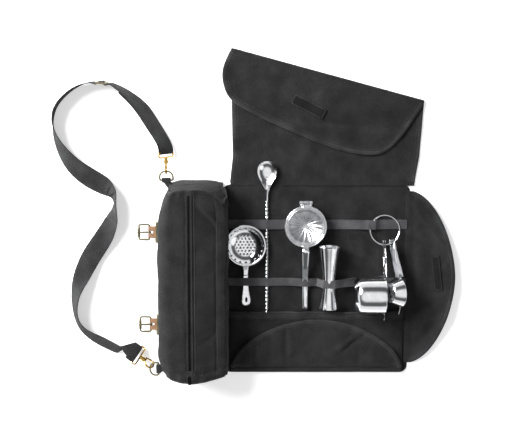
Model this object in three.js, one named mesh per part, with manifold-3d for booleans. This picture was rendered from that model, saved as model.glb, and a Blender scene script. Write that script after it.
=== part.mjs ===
// Bartender bag, laid open: a zipped barrel at the left, a roll of canvas with its tools at the right.
// Millimetres, +Z up, origin at the centre of the tool panel's underside. +X is right, +Y is up the roll.
import * as THREE from 'three';
import { mergeVertices } from 'three/addons/utils/BufferGeometryUtils.js';
import Module from 'manifold-3d';

const wasm = await Module();
wasm.setup();

// Shared sizes
const gap = 0.3;
const overrun = 2;
const canvasThickness = 3;
const leatherThickness = 2.4;
const webbingThickness = 2;
const mergeTolerance = 0.0005;

// Tool panel
const panelWidth = 350;
const panelLength = 361;
const panelThickness = 5;
const panelCorner = 14;

// Closing straps, sewn in shallow channels under the panel
const closingStrapWidth = 22;
const closingStrapLength = 185;
const closingStrapEdgeInset = 6;
const closingStrapPoint = 14;
const closingStrapHole = 4;
const closingStrapHolePitch = 20;
const closingStrapHoleCount = 4;
const buckleUpperY = 92;
const buckleLowerY = -84;

// Top flap: a base that stays with the panel, a long middle, and a D-shaped end folded back on it
const topFlapLeftX = -161;
const topFlapRightX = 182;
const topFoldY = 233;
const topFoldLeftX = -155.4;
const topFoldRightX = 190;
const endFoldLeft = [-158.6, 428];
const endFoldRight = [196.9, 332];
const flapEndDepth = 124;

// Right flap and bottom flap, both D-shaped
const rightFlapHalfChord = 164.5;
const rightFlapCentreY = 3.7;
const rightFlapDepth = 86;
const rightFlapRise = 16;
const rightFlapRoundness = 1.75;
const bottomFlapHalfChord = 162.5;
const bottomFlapCentreX = 1.5;
const bottomFlapDepth = 100;
const bottomFlapRoundness = 1.8;
const bottomFlapHingeInset = 7;
const flapHingeHeight = 1.5;

// Hook-and-loop patches
const patchThickness = 1.6;
const topPatchLength = 65;
const topPatchWidth = 20;
const topPatchCentre = [-16, 325];
const topPatchTurnDeg = -27;
const sidePatchLength = 66;
const sidePatchWidth = 16;
const sidePatchAlongFlap = 52;
const sidePatchY = 14;
const sidePatchTurnDeg = 7;

// Pocket along the bottom of the panel
const pocketWidth = 330;
const pocketTopY = -60;
const pocketBottomInset = 11.5;
const pocketSheet = 1.6;
const pocketMouthHeight = 11;
const pocketBottomHeight = 0.8;
const pocketSeam = 6;

// Elastic loops that hold the tools
const elasticThickness = 1.2;
const upperElasticWidth = 18;
const upperElasticY = 105.6;
const lowerElasticWidth = 15;
const lowerElasticY = -3.5;
const elasticInset = 5;

// Zipped barrel
const barrelFrontY = -176;
const barrelBackY = 186;
const barrelLeftX = -292;
const barrelRightX = -163;
const barrelHeight = 105;
const barrelFootLeftX = -286;
const barrelShoulderDrop = 25;
const barrelShoulder = barrelHeight - barrelShoulderDrop;
const barrelCorner = 24;
const barrelWaist = 55;
const barrelWaistLow = 38;
const barrelKnee = 26;
const barrelFootRise = 12;
const barrelTuck = 2;

// Zip
const zipX = -233;
const zipFrontY = -150;
const zipBackY = 174;
const zipGarageLength = 16;
const zipTapeWidth = 13;
const zipTapeThickness = 1;
const zipChainWidth = 2.2;
const zipChainHeight = 2.6;
const zipChainGap = 1.6;
const sliderLength = 11;
const sliderWidth = 8;
const sliderPlate = 1.1;
const sliderPost = 0.9;
const pullLength = 14;
const pullWidth = 6;
const pullThickness = 1.2;
const pullForkLength = 5;
const sliderBridge = 1.2;

// Buckles on the left wall
const buckleHeight = 12;
const buckleTabLength = 22;
const buckleTabWidth = 38;
const buckleTabThickness = 5.6;
const buckleWire = 3.4;
const buckleInsideWidth = 25;
const buckleInsideLength = 15;
const rollerRadius = 2.6;
const prongWidth = 2.6;
const prongSlotWidth = 5;
const keeperWidth = 7;
const keeperThickness = 1.8;

// D-rings, snap hooks and swivels
const ringWire = 3.4;
const ringInsideWidth = 21;
const ringInsideDepth = 13;
const ringTabWidth = 16;
const ringTabDepth = 9;
const ringTabHeight = 9;
const hardwareHeight = 24;
const hookWire = 3.6;
const hookReach = 25;
const hookHalfWidth = 8;
const hookBarrelRadius = 4.4;
const hookBarrelLength = 6;
const swivelStemRadius = 1.6;
const swivelBoss = 3.4;
const eyeInsideWidth = 41;
const eyeInsideDepth = 6;
const eyeWire = 3.2;
const gateWidth = 3;
const gateLength = 11.5;
const upperRingInset = 14;
// Shares of the hook's half width for its shoulder, its gate pin and its gate slot, and of the barrel for the boss
const hookShoulderShare = 0.8;
const gatePinShare = 0.72;
const gateSlotShare = 0.3;
const gateTipShare = 0.6;
const swivelBossShare = 0.8;

// Shoulder strap
const strapWidth = 38;
const strapRouteReach = 100;
const strapSliderInsideLength = 14;
const strapSliderWire = 3.2;
const strapSliderBar = 2.6;
const strapFloor = 0.3;

// Julep strainer
const strainerX = -132.6;
const strainerY = 66.9;
const strainerRadius = 39;
const strainerDepth = 13;
const strainerSheet = 1.2;
const strainerHolePitch = 6.6;
const strainerHoleRadius = 1.4;
const strainerRimHoleCount = 20;
const strainerNeckWidth = 11;
const strainerEndWidth = 20;
const strainerHandleEndY = -49;

// Bar spoon
const spoonX = -92.2;
const spoonBowlY = 199;
const spoonBowlLength = 52;
const spoonBowlWidth = 34;
const spoonBowlDepth = 7;
const spoonSheet = 1.3;
const spoonShaft = 4.6;
const spoonTipY = -82;
const spoonTwistPitch = 17;
const spoonTwistStartY = 60;
const spoonPointedness = 1.5;

// Citrus press
const pressX = -20.6;
const pressY = 104.7;
const pressRadius = 36;
const pressRim = 3.2;
const pressDepth = 21;
const pressWall = 2;
const pressHandleEndY = -55;
const pressHandleWidth = 12;
const pressHandleTipWidth = 9;
const pressHandleThickness = 4;
const pressHingeY = 149.5;
const pressHingeRadius = 4;
const pressPinRadius = 1.6;
const pressEarWidth = 4.5;
const pressFluteCount = 16;
const pressFluteHeight = 2.4;
const pressDomeDepth = 13;
const pressDrainLength = 12;
const pressDrainWidth = 2.6;
const pressDrainCount = 10;
const pressDomeInset = 2;
const pressWaistShare = 0.78;
const pressWaistRiseShare = 0.3;
const pressFloorShare = 0.5;
// Shares of the dome's radius and of its depth, from its middle to its rim
const pressDomeShares = [[0.1, 1], [0.3, 0.91], [0.62, 0.55], [1, 0]];

// Jigger
const jiggerX = 23.4;
const jiggerTopY = 66;
const jiggerWaistY = -9.4;
const jiggerBottomY = -50.5;
const jiggerTopRadius = 20.2;
const jiggerWaistRadius = 8.5;
const jiggerBottomRadius = 18.7;
const jiggerWall = 1.1;
const jiggerFloor = 3;

// Measuring cups on their ring
const measureRingX = 127.5;
const measureRingY = 95.4;
const measureRingRadius = 27.5;
const measureRingWire = 2.5;
const cupWall = 1;
const largeCupRimX = 126;
const largeCupY = -21.5;
const largeCupRadius = 36;
const largeCupDepth = 57;
const mediumCupRadius = 31;
const mediumCupDepth = 44;
const cupNest = 2;
const smallCupX = 153.5;
const smallCupY = -18;
const smallCupRadius = 29;
const smallCupBaseRadius = 21;
const smallCupDepth = 20;
const smallCupTiltDeg = 22;
const cupSpout = 13;
const cupHandleWidth = 12;
const cupHandleThickness = 1.6;
const cupHandleHole = 7.4;
// Shares of the handle's width, from the cup's rim to the end past the ring
const cupHandleShares = [1.5, 1.25, 1, 0.8];

// Materials, one for each kind of surface
const finishes = {
  canvas: { color: 0x343536, roughness: 0.95, metalness: 0 },
  lining: { color: 0x2a2b2c, roughness: 0.95, metalness: 0 },
  elastic: { color: 0x5b5c5e, roughness: 0.9, metalness: 0 },
  webbing: { color: 0x2f3031, roughness: 0.85, metalness: 0 },
  patch: { color: 0x202122, roughness: 1, metalness: 0 },
  leather: { color: 0xc09263, roughness: 0.6, metalness: 0 },
  antique: { color: 0x8c8264, roughness: 0.4, metalness: 1 },
  gold: { color: 0xc9a55a, roughness: 0.3, metalness: 1 },
  blackMetal: { color: 0x2a2a2c, roughness: 0.4, metalness: 0.8 },
  steel: { color: 0xc8c9cc, roughness: 0.22, metalness: 1 },
};
const materials = Object.fromEntries(
  Object.entries(finishes).map(([name, look]) => [name, new THREE.MeshStandardMaterial({ name, ...look })]),
);

const bag = new THREE.Group();
const vec = (x, y, z) => new THREE.Vector3(x, y, z);
const radians = THREE.MathUtils.degToRad;

// Geometry helpers

// Turns faces outward and merges shared corners, so that the geometry is one closed body.
function closed(geometry) {
  const bare = new THREE.BufferGeometry();
  bare.setAttribute('position', geometry.getAttribute('position').clone());
  if (geometry.index) bare.setIndex(geometry.index.clone());
  const merged = mergeVertices(bare, mergeTolerance);
  const place = merged.getAttribute('position');
  const kept = [];
  let volume = 0;
  const a = vec(0, 0, 0);
  const b = vec(0, 0, 0);
  const c = vec(0, 0, 0);
  for (let i = 0; i < merged.index.count; i += 3) {
    const corners = [merged.index.getX(i), merged.index.getX(i + 1), merged.index.getX(i + 2)];
    if (new Set(corners).size < 3) continue;
    a.fromBufferAttribute(place, corners[0]);
    b.fromBufferAttribute(place, corners[1]);
    c.fromBufferAttribute(place, corners[2]);
    volume += a.dot(b.cross(c));
    kept.push(corners);
  }
  if (volume < 0) kept.forEach((corners) => corners.reverse());
  merged.setIndex(kept.flat());
  return merged;
}

function toManifold(geometry) {
  const body = closed(geometry);
  return new wasm.Manifold(
    new wasm.Mesh({
      numProp: 3,
      vertProperties: new Float32Array(body.getAttribute('position').array),
      triVerts: new Uint32Array(body.index.array),
    }),
  );
}

function fromManifold(solid) {
  const mesh = solid.getMesh();
  const geometry = new THREE.BufferGeometry();
  geometry.setAttribute('position', new THREE.BufferAttribute(new Float32Array(mesh.vertProperties), 3));
  geometry.setIndex([...mesh.triVerts]);
  return geometry;
}

function join(first, ...others) {
  return fromManifold(others.reduce((sum, other) => sum.add(toManifold(other)), toManifold(first)));
}

function cut(first, ...others) {
  return fromManifold(others.reduce((rest, other) => rest.subtract(toManifold(other)), toManifold(first)));
}

// Adds a named piece to the bag.
function add(name, material, geometry) {
  const body = closed(geometry);
  body.computeVertexNormals();
  const mesh = new THREE.Mesh(body, materials[material]);
  mesh.name = name;
  bag.add(mesh);
  return mesh;
}

// Skins a row of rings that all have the same number of points. Open rows get flat ends. Where shortest is
// asked for, each four-sided face is split along its shorter diagonal.
function skin(rings, endless = false, shortest = false) {
  const count = rings[0].length;
  const positions = rings.flat().flatMap((p) => [p.x, p.y, p.z]);
  const index = [];
  const rows = endless ? rings.length : rings.length - 1;
  for (let r = 0; r < rows; r += 1) {
    const next = (r + 1) % rings.length;
    for (let i = 0; i < count; i += 1) {
      const j = (i + 1) % count;
      const forward = rings[r][i].distanceTo(rings[next][j]);
      const backward = rings[r][j].distanceTo(rings[next][i]);
      if (shortest && backward < forward) {
        index.push(r * count + i, r * count + j, next * count + i);
        index.push(r * count + j, next * count + j, next * count + i);
      } else {
        index.push(r * count + i, r * count + j, next * count + j);
        index.push(r * count + i, next * count + j, next * count + i);
      }
    }
  }
  if (!endless) {
    const last = (rings.length - 1) * count;
    for (let i = 1; i < count - 1; i += 1) {
      index.push(0, i + 1, i);
      index.push(last, last + i, last + i + 1);
    }
  }
  const geometry = new THREE.BufferGeometry();
  geometry.setAttribute('position', new THREE.Float32BufferAttribute(positions, 3));
  geometry.setIndex(index);
  return geometry;
}

function shapeOf(points) {
  return new THREE.Shape(points.map(([x, y]) => new THREE.Vector2(x, y)));
}

// A flat plate from an outline in X and Y, standing from z upward, with optional holes.
function plate(points, z, thickness, holes = []) {
  const shape = shapeOf(points);
  holes.forEach((hole) => shape.holes.push(new THREE.Path(hole.map(([x, y]) => new THREE.Vector2(x, y)))));
  const geometry = new THREE.ExtrudeGeometry(shape, { depth: thickness, bevelEnabled: false });
  return geometry.translate(0, 0, z);
}

// An outline in X and Z, drawn out along Y.
function alongY(points, y, length, holes = []) {
  const shape = shapeOf(points);
  holes.forEach((hole) => shape.holes.push(new THREE.Path(hole.map(([x, z]) => new THREE.Vector2(x, z)))));
  const geometry = new THREE.ExtrudeGeometry(shape, { depth: length, bevelEnabled: false });
  return geometry.rotateX(Math.PI / 2).translate(0, y + length, 0);
}

// An outline in Y and Z, drawn out along X.
function alongX(points, x, length) {
  const geometry = new THREE.ExtrudeGeometry(shapeOf(points), { depth: length, bevelEnabled: false });
  const turn = new THREE.Matrix4().makeBasis(vec(0, 1, 0), vec(0, 0, 1), vec(1, 0, 0));
  return geometry.applyMatrix4(turn).translate(x, 0, 0);
}

function block(x0, x1, y0, y1, z0, z1) {
  return plate(rectangle(x0, x1, y0, y1), z0, z1 - z0);
}

function rectangle(x0, x1, y0, y1) {
  return [[x0, y0], [x1, y0], [x1, y1], [x0, y1]];
}

// Points of a rectangle with round corners.
function roundedRectangle(x0, x1, y0, y1, radius, steps = 4) {
  const corners = [
    [x1 - radius, y0 + radius, -90],
    [x1 - radius, y1 - radius, 0],
    [x0 + radius, y1 - radius, 90],
    [x0 + radius, y0 + radius, 180],
  ];
  return corners.flatMap(([x, y, start]) => arc(x, y, radius, start, start + 90, steps));
}

// Points on an arc, with both of its ends.
function arc(x, y, radius, startDeg, endDeg, steps) {
  return Array.from({ length: steps + 1 }, (_, i) => {
    const angle = radians(startDeg + ((endDeg - startDeg) * i) / steps);
    return [x + radius * Math.cos(angle), y + radius * Math.sin(angle)];
  });
}

function circle(x, y, radius, steps) {
  return arc(x, y, radius, 0, 360, steps).slice(0, steps);
}

// A round bar from one point to another.
function rod(from, to, radius, sides = 12) {
  const length = from.distanceTo(to);
  const geometry = new THREE.CylinderGeometry(radius, radius, length, sides);
  const heading = to.clone().sub(from).divideScalar(length);
  const turn = new THREE.Quaternion().setFromUnitVectors(vec(0, 1, 0), heading);
  const middle = from.clone().add(to).multiplyScalar(1 / 2);
  return geometry.applyQuaternion(turn).translate(middle.x, middle.y, middle.z);
}

// A round wire bent in its own X and Y plane, with a mitred ring of points at each given place.
function flatWire(points, radius, { endless = false, sides = 6 } = {}) {
  const last = points.length - 1;
  const across = (from, to) => {
    const length = Math.hypot(to[0] - from[0], to[1] - from[1]);
    return [(from[1] - to[1]) / length, (to[0] - from[0]) / length];
  };
  const rings = points.map((point, i) => {
    const previous = i > 0 ? points[i - 1] : points[endless ? last : i];
    const next = i < last ? points[i + 1] : points[endless ? 0 : i];
    const before = previous === point ? across(point, next) : across(previous, point);
    const after = next === point ? before : across(point, next);
    const scale = 1 / (1 + before[0] * after[0] + before[1] * after[1]);
    return Array.from({ length: sides }, (_, s) => {
      const angle = (2 * Math.PI * (s + 1 / 2)) / sides;
      const reach = radius * Math.cos(angle) * scale;
      const x = point[0] + (before[0] + after[0]) * reach;
      const y = point[1] + (before[1] + after[1]) * reach;
      return vec(x, y, radius * Math.sin(angle));
    });
  });
  return skin(rings, endless);
}

// A closed lathe profile of radius and height, turned about Z.
function turned(profile, segments) {
  const points = profile.map(([radius, height]) => new THREE.Vector2(radius, height));
  return new THREE.LatheGeometry(points, segments).rotateX(Math.PI / 2);
}

// A flat band: stations give its middle, the direction of its width, and its thickness direction.
function band(stations, width, thickness) {
  const rings = stations.map(({ at, side, up, share = 1 }) => {
    const half = side.clone().multiplyScalar((width * share) / 2);
    const lift = up.clone().multiplyScalar(thickness / 2);
    return [
      at.clone().sub(half).sub(lift),
      at.clone().add(half).sub(lift),
      at.clone().add(half).add(lift),
      at.clone().sub(half).add(lift),
    ];
  });
  return skin(rings, false, true);
}

// Half of a superellipse, from one end of its chord to the other.
function dOutline(halfChord, depth, roundness, steps) {
  return Array.from({ length: steps + 1 }, (_, i) => {
    const angle = (Math.PI * i) / steps;
    const c = Math.cos(angle);
    const s = Math.sin(angle);
    const along = Math.sign(c) * Math.abs(c) ** (2 / roundness) * halfChord;
    return [along, s ** (2 / roundness) * depth];
  });
}

// A dish: a rim outline that shrinks to its middle, with its depth as a share of the way out.
function dish({ rim, depth, wall, rings }) {
  const level = (share) => -depth * (1 - share ** 2);
  const ringAt = (share, drop) => rim.map(([x, y]) => vec(x * share, y * share, level(share) - drop));
  const innermost = 1 / (2 * rings);
  const shares = Array.from({ length: rings + 1 }, (_, i) => innermost + ((1 - innermost) * i) / rings);
  const inside = shares.map((share) => ringAt(share, 0));
  const outside = shares.map((share) => ringAt(share, wall)).reverse();
  return skin([...inside, ...outside]);
}

const panelLeft = -panelWidth / 2;
const panelRight = panelWidth / 2;
const panelFront = -panelLength / 2;
const panelBack = panelLength / 2;
const bottomFlapHingeY = panelFront + bottomFlapHingeInset;
const pocketBottomY = panelFront + pocketBottomInset;
const onPanel = panelThickness + gap;
const closingStrapRight = panelRight - closingStrapEdgeInset;
const closingStrapLeft = closingStrapRight - closingStrapLength;
const closingChannelDepth = leatherThickness + gap;

// Tool panel, with a channel in its underside for each closing strap
function toolPanel() {
  const outline = roundedRectangle(panelLeft, panelRight, panelFront, panelBack, panelCorner);
  const sheet = plate(outline, 0, panelThickness);
  const channels = [buckleUpperY, buckleLowerY].map((y) =>
    block(
      closingStrapLeft - gap,
      closingStrapRight + gap,
      y - closingStrapWidth / 2 - gap,
      y + closingStrapWidth / 2 + gap,
      -overrun,
      closingChannelDepth,
    ),
  );
  add('tool_panel', 'lining', cut(sheet, ...channels));
}

// Leather closing straps, pointed at the end that goes to the buckle
function closingStraps() {
  [['upper', buckleUpperY], ['lower', buckleLowerY]].forEach(([name, y]) => {
    const half = closingStrapWidth / 2;
    const outline = [
      [closingStrapRight, y - half],
      [closingStrapRight, y + half],
      [closingStrapLeft + closingStrapPoint, y + half],
      [closingStrapLeft, y],
      [closingStrapLeft + closingStrapPoint, y - half],
    ];
    const holes = Array.from({ length: closingStrapHoleCount }, (_, i) =>
      circle(closingStrapLeft + closingStrapHolePitch * (i + 1), y, closingStrapHole / 2, 10),
    );
    add(`closing_strap_${name}`, 'leather', plate(outline, 0, leatherThickness, holes));
  });
}

// Long top flap in three parts
const endFoldHeight = canvasThickness + gap / 2;

function topFlap() {
  const base = [
    [topFlapLeftX, panelBack + gap],
    [topFlapRightX, panelBack + gap],
    [topFoldRightX, topFoldY],
    [topFoldLeftX, topFoldY],
  ];
  add('top_flap_base', 'canvas', plate(base, 0, canvasThickness));

  const middle = [
    [topFoldLeftX, topFoldY + gap],
    [topFoldRightX, topFoldY + gap],
    endFoldRight,
    endFoldLeft,
  ];
  add('top_flap', 'canvas', plate(middle, 0, canvasThickness));

  const foldStart = new THREE.Vector2(...endFoldLeft);
  const along = new THREE.Vector2(...endFoldRight).sub(foldStart);
  const foldLength = along.length();
  along.divideScalar(foldLength);
  const down = new THREE.Vector2(along.y, -along.x);
  // Shares of the fold's length and of the flap end's depth, from the left end of the fold round to its right end
  const endOutlineShares = [
    [0, 0], [-0.016, 0.26], [-0.005, 0.44], [0.033, 0.63], [0.084, 0.74], [0.18, 0.81], [0.298, 0.875],
    [0.423, 0.93], [0.572, 0.985], [0.686, 1], [0.794, 0.97], [0.864, 0.9], [0.911, 0.75], [0.954, 0.43],
    [1, 0],
  ];
  const outline = endOutlineShares.map(([u, v]) => {
    const p = foldStart.clone().addScaledVector(along, u * foldLength).addScaledVector(down, v * flapEndDepth);
    return [p.x, p.y];
  });
  const endZ = canvasThickness + gap;
  add('top_flap_end', 'canvas', plate(outline, endZ, canvasThickness));

  const half = topPatchLength / 2;
  const patch = plate(
    roundedRectangle(-half, half, -topPatchWidth / 2, topPatchWidth / 2, patchThickness),
    endZ + canvasThickness + gap,
    patchThickness,
  );
  patch.rotateZ(radians(topPatchTurnDeg)).translate(topPatchCentre[0], topPatchCentre[1], 0);
  add('hook_patch', 'patch', patch);
}

// Right flap, leaning up a little, with its loop patch
function rightFlap() {
  const lean = Math.atan2(rightFlapRise, rightFlapDepth);
  const upright = dOutline(rightFlapHalfChord, rightFlapDepth, rightFlapRoundness, 30);
  const outline = upright.map(([y, x]) => [x, y]);
  const place = (geometry) =>
    geometry.rotateY(-lean).translate(panelRight + gap, rightFlapCentreY, flapHingeHeight);
  const half = canvasThickness / 2;
  const sheet = plate(outline, -half, canvasThickness).translate(half * Math.sin(lean), 0, 0);
  add('right_flap', 'canvas', place(sheet));
  const reach = sidePatchLength / 2;
  const patch = plate(
    roundedRectangle(-sidePatchWidth / 2, sidePatchWidth / 2, -reach, reach, patchThickness),
    half + gap,
    patchThickness,
  );
  patch.rotateZ(radians(sidePatchTurnDeg)).translate(sidePatchAlongFlap, sidePatchY - rightFlapCentreY, 0);
  add('loop_patch', 'patch', place(patch));
}

const pocketRoof = onPanel + pocketMouthHeight + pocketSheet;
const pocketSlope = (pocketMouthHeight - pocketBottomHeight) / (pocketTopY - pocketBottomY);

// Pocket: an open-mouthed arch over the bottom of the panel
function toolPocket() {
  const half = pocketWidth / 2;
  const roof = [
    [pocketBottomY, onPanel],
    [pocketTopY, onPanel],
    [pocketTopY, pocketRoof],
    [pocketBottomY, onPanel + pocketBottomHeight + pocketSheet],
  ];
  const hollow = [
    [pocketBottomY + pocketSeam, onPanel - overrun],
    [pocketTopY + overrun, onPanel - overrun],
    [pocketTopY + overrun, onPanel + pocketMouthHeight + pocketSlope * overrun],
    [pocketBottomY + pocketSeam, onPanel + pocketBottomHeight + pocketSlope * pocketSeam],
  ];
  const arch = cut(
    alongX(roof, -half, pocketWidth),
    alongX(hollow, pocketSeam - half, pocketWidth - 2 * pocketSeam),
  );
  add('tool_pocket', 'lining', arch);
}

// Bottom flap, folded up over the pocket. Its fold is a roll of cloth that rests on the panel.
function bottomFlap() {
  const rise = Math.atan(pocketSlope);
  const roofAtHinge = pocketRoof + pocketSlope * (bottomFlapHingeY - pocketTopY);
  const hingeZ = roofAtHinge + gap + canvasThickness / 2 / Math.cos(rise);
  const outline = dOutline(bottomFlapHalfChord, bottomFlapDepth, bottomFlapRoundness, 30);
  const sheet = plate(outline, -canvasThickness / 2, canvasThickness).rotateX(rise);
  const reach = bottomFlapHalfChord - canvasThickness;
  const roll = rod(vec(-reach, 0, 0), vec(reach, 0, 0), hingeZ - onPanel, 12);
  add('bottom_flap', 'canvas', join(sheet, roll).translate(bottomFlapCentreX, bottomFlapHingeY, hingeZ));
}

// Elastics: bands that run along X, lying on the panel and passing over what they hold
function elastic(name, y, width, tops) {
  const low = onPanel;
  const path = [[panelLeft + elasticInset, low], ...tops, [panelRight - elasticInset, low]];
  const under = path.map(([x, z]) => [x, z]);
  const over = path.map(([x, z], i) => {
    const before = path[Math.max(i - 1, 0)];
    const after = path[Math.min(i + 1, path.length - 1)];
    const slope = Math.atan2(after[1] - before[1], after[0] - before[0]);
    return [x - elasticThickness * Math.sin(slope), z + elasticThickness * Math.cos(slope)];
  });
  add(name, 'elastic', alongY([...under, ...over.reverse()], y - width / 2, width));
}

// The measuring ring lies on the upper elastic at its back and is held up at its front by the cups' handles
const measureRingOnElasticY = upperElasticY + upperElasticWidth / 2;
const measureRingOnElasticZ = onPanel + elasticThickness + 2 * gap + measureRingWire / 2;
const measureRingFrontY = measureRingY - measureRingRadius;
const measureRingFrontZ = onPanel + (cupHandleWidth + cupHandleHole) / 2;
const measureRingRise = measureRingFrontZ - measureRingOnElasticZ;
const measureRingSlope = measureRingRise / (measureRingFrontY - measureRingOnElasticY);
const measureRingZ = (y) => measureRingOnElasticZ + measureRingSlope * (y - measureRingOnElasticY);

function elastics() {
  const overSpoon = onPanel + spoonShaft + gap;
  const spoonHalf = spoonShaft / 2;
  const ringLeft = measureRingX - measureRingRadius;
  const ringOffset = measureRingOnElasticY - measureRingY;
  const ringCross = measureRingX - Math.sqrt(measureRingRadius ** 2 - ringOffset ** 2);
  const overRing = measureRingZ(upperElasticY - upperElasticWidth / 2) + measureRingWire / 2 + gap;
  elastic('upper_elastic', upperElasticY, upperElasticWidth, [
    [spoonX - 4 * spoonHalf, onPanel],
    [spoonX - spoonHalf, overSpoon],
    [spoonX + spoonHalf, overSpoon],
    [spoonX + 4 * spoonHalf, onPanel],
    [ringLeft - 4 * measureRingWire, onPanel],
    [ringLeft - measureRingWire, overRing],
    [ringCross + measureRingWire, overRing],
    [ringCross + 4 * measureRingWire, onPanel],
  ]);
  const overStrainer = strainerFloor + strainerSheet + gap;
  const strainerHalf = strainerEndWidth / 2 + gap;
  const overPress = pressUpperHandleZ + pressHandleThickness + 2 * gap;
  const pressHalf = pressHandleWidth / 2 + gap;
  const elasticBackY = lowerElasticY + lowerElasticWidth / 2;
  const overJigger = jiggerAxisZ(elasticBackY) + jiggerRadiusAt(elasticBackY) + 3 * gap;
  const jiggerHalf = jiggerRadiusAt(elasticBackY);
  elastic('lower_elastic', lowerElasticY, lowerElasticWidth, [
    [strainerX - 2 * strainerHalf, onPanel],
    [strainerX - strainerHalf, overStrainer],
    [strainerX + strainerHalf, overStrainer],
    [(strainerX + spoonX) / 2 + spoonHalf, onPanel],
    [spoonX - spoonHalf, overSpoon],
    [spoonX + spoonHalf, overSpoon],
    [spoonX + 4 * spoonHalf, onPanel],
    [pressX - 4 * pressHalf, onPanel],
    [pressX - pressHalf, overPress],
    [pressX + pressHalf, overPress],
    [jiggerX - 2 * jiggerHalf, onPanel],
    [jiggerX - jiggerHalf, overJigger],
    [jiggerX + jiggerHalf, overJigger],
    [jiggerX + 4 * jiggerHalf, onPanel],
  ]);
}

// Julep strainer: a dished disc with holes and a flat handle
const strainerFloor = onPanel;

function julepStrainer() {
  const rimZ = strainerFloor + strainerDepth;
  const drillFoot = -strainerDepth - overrun;
  const drill = (x, y) => rod(vec(x, y, drillFoot), vec(x, y, overrun), strainerHoleRadius, 6);
  const holes = [];
  const rowHeight = (strainerHolePitch * Math.sqrt(3)) / 2;
  const rowCount = 3;
  for (let row = -rowCount; row <= rowCount; row += 1) {
    const across = 2 * rowCount + 1 - Math.abs(row);
    for (let i = 0; i < across; i += 1) {
      const x = (i - (across - 1) / 2) * strainerHolePitch;
      holes.push(drill(x, row * rowHeight));
    }
  }
  for (let i = 0; i < strainerRimHoleCount; i += 1) {
    const angle = (2 * Math.PI * i) / strainerRimHoleCount;
    const reach = strainerRadius - strainerHolePitch;
    holes.push(drill(reach * Math.cos(angle), reach * Math.sin(angle)));
  }
  const bowl = dish({
    rim: circle(0, 0, strainerRadius, 40),
    depth: strainerDepth,
    wall: strainerSheet,
    rings: 5,
  });
  const disc = cut(bowl, ...holes).translate(strainerX, strainerY, rimZ + strainerSheet);
  const neckY = strainerY - strainerRadius;
  const flatY = lowerElasticY + lowerElasticWidth;
  const side = vec(1, 0, 0);
  const up = vec(0, 0, 1);
  const endY = strainerHandleEndY;
  const widen = strainerEndWidth / strainerNeckWidth;
  const half = strainerSheet / 2;
  const handle = band(
    [
      { at: vec(strainerX, neckY + overrun, rimZ - half), side, up },
      { at: vec(strainerX, neckY - strainerNeckWidth / 2, rimZ - strainerDepth / 3), side, up },
      { at: vec(strainerX, flatY, strainerFloor + half), side, up, share: (2 + widen) / 3 },
      { at: vec(strainerX, endY + strainerNeckWidth / 2, strainerFloor + half), side, up, share: widen },
      { at: vec(strainerX, endY, strainerFloor + half), side, up, share: 1 },
    ],
    strainerNeckWidth,
    strainerSheet,
  );
  add('julep_strainer', 'steel', join(disc, handle));
}

// Bar spoon: a teardrop bowl, a plain neck, a twisted shaft and a plain tip
function barSpoon() {
  const neckY = spoonBowlY - spoonBowlLength / 2;
  const rimZ = onPanel + spoonBowlDepth + spoonSheet;
  const steps = 28;
  const rim = Array.from({ length: steps }, (_, i) => {
    const angle = (2 * Math.PI * i) / steps;
    const taper = 1 + Math.sin(angle) / 4;
    const across = (spoonBowlWidth / 2) * Math.cos(angle) * taper ** spoonPointedness;
    return [across, (spoonBowlLength / 2) * Math.sin(angle)];
  });
  const bowl = dish({ rim, depth: spoonBowlDepth, wall: spoonSheet, rings: 4 });
  bowl.translate(spoonX, spoonBowlY, rimZ);
  const half = spoonShaft / 2;
  const shaftZ = onPanel + half;
  const squareAt = (y, z, turn, share = 1) =>
    [0, 1, 2, 3].map((i) => {
      const angle = turn + (Math.PI * (2 * i + 1)) / 4;
      const reach = half * share;
      return vec(spoonX + reach * Math.cos(angle), y, z + reach * Math.sin(angle));
    });
  const rings = [
    squareAt(neckY + 3 * half, rimZ - spoonSheet, 0),
    squareAt(neckY - half, rimZ - spoonSheet / 2, 0),
    squareAt(neckY - 8 * half, shaftZ, 0),
    squareAt(spoonTwistStartY, shaftZ, 0),
  ];
  const stepsPerTurn = 8;
  const turns = Math.floor((spoonTwistStartY - spoonTipY) / spoonTwistPitch);
  for (let i = 1; i <= turns * stepsPerTurn; i += 1) {
    const y = spoonTwistStartY - (i * spoonTwistPitch) / stepsPerTurn;
    rings.push(squareAt(y, shaftZ, (2 * Math.PI * i) / stepsPerTurn));
  }
  rings.push(squareAt(spoonTipY, shaftZ, 0));
  add('bar_spoon', 'steel', join(bowl, skin(rings)));
}

// Citrus press: a drained lower bowl and a fluted dome, hinged behind the bowls
const pressFloor = onPanel + elasticThickness + gap;
const pressRimZ = pressFloor + pressDepth;
const pressHandleZ = onPanel;
const pressUpperHandleZ = pressHandleZ + pressHandleThickness + gap;
const pressHingeZ = pressRimZ + pressHandleThickness / 2 + gap / 2;
const pressEarInside = pressHandleWidth / 2;

// A handle that leaves the rim and slopes down to lie along the roll
function pressHandle(rimTop, tipBottom) {
  const side = vec(1, 0, 0);
  const up = vec(0, 0, 1);
  const half = pressHandleThickness / 2;
  const rimY = pressY - pressRadius;
  const taper = pressHandleTipWidth / pressHandleWidth;
  return band(
    [
      { at: vec(pressX, rimY + overrun, rimTop - half), side, up },
      { at: vec(pressX, rimY - pressHandleWidth, rimTop - half), side, up },
      { at: vec(pressX, (rimY + pressHandleEndY) / 2, tipBottom + half), side, up, share: (1 + taper) / 2 },
      { at: vec(pressX, pressHandleEndY, tipBottom + half), side, up, share: taper },
    ],
    pressHandleWidth,
    pressHandleThickness,
  );
}

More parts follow.
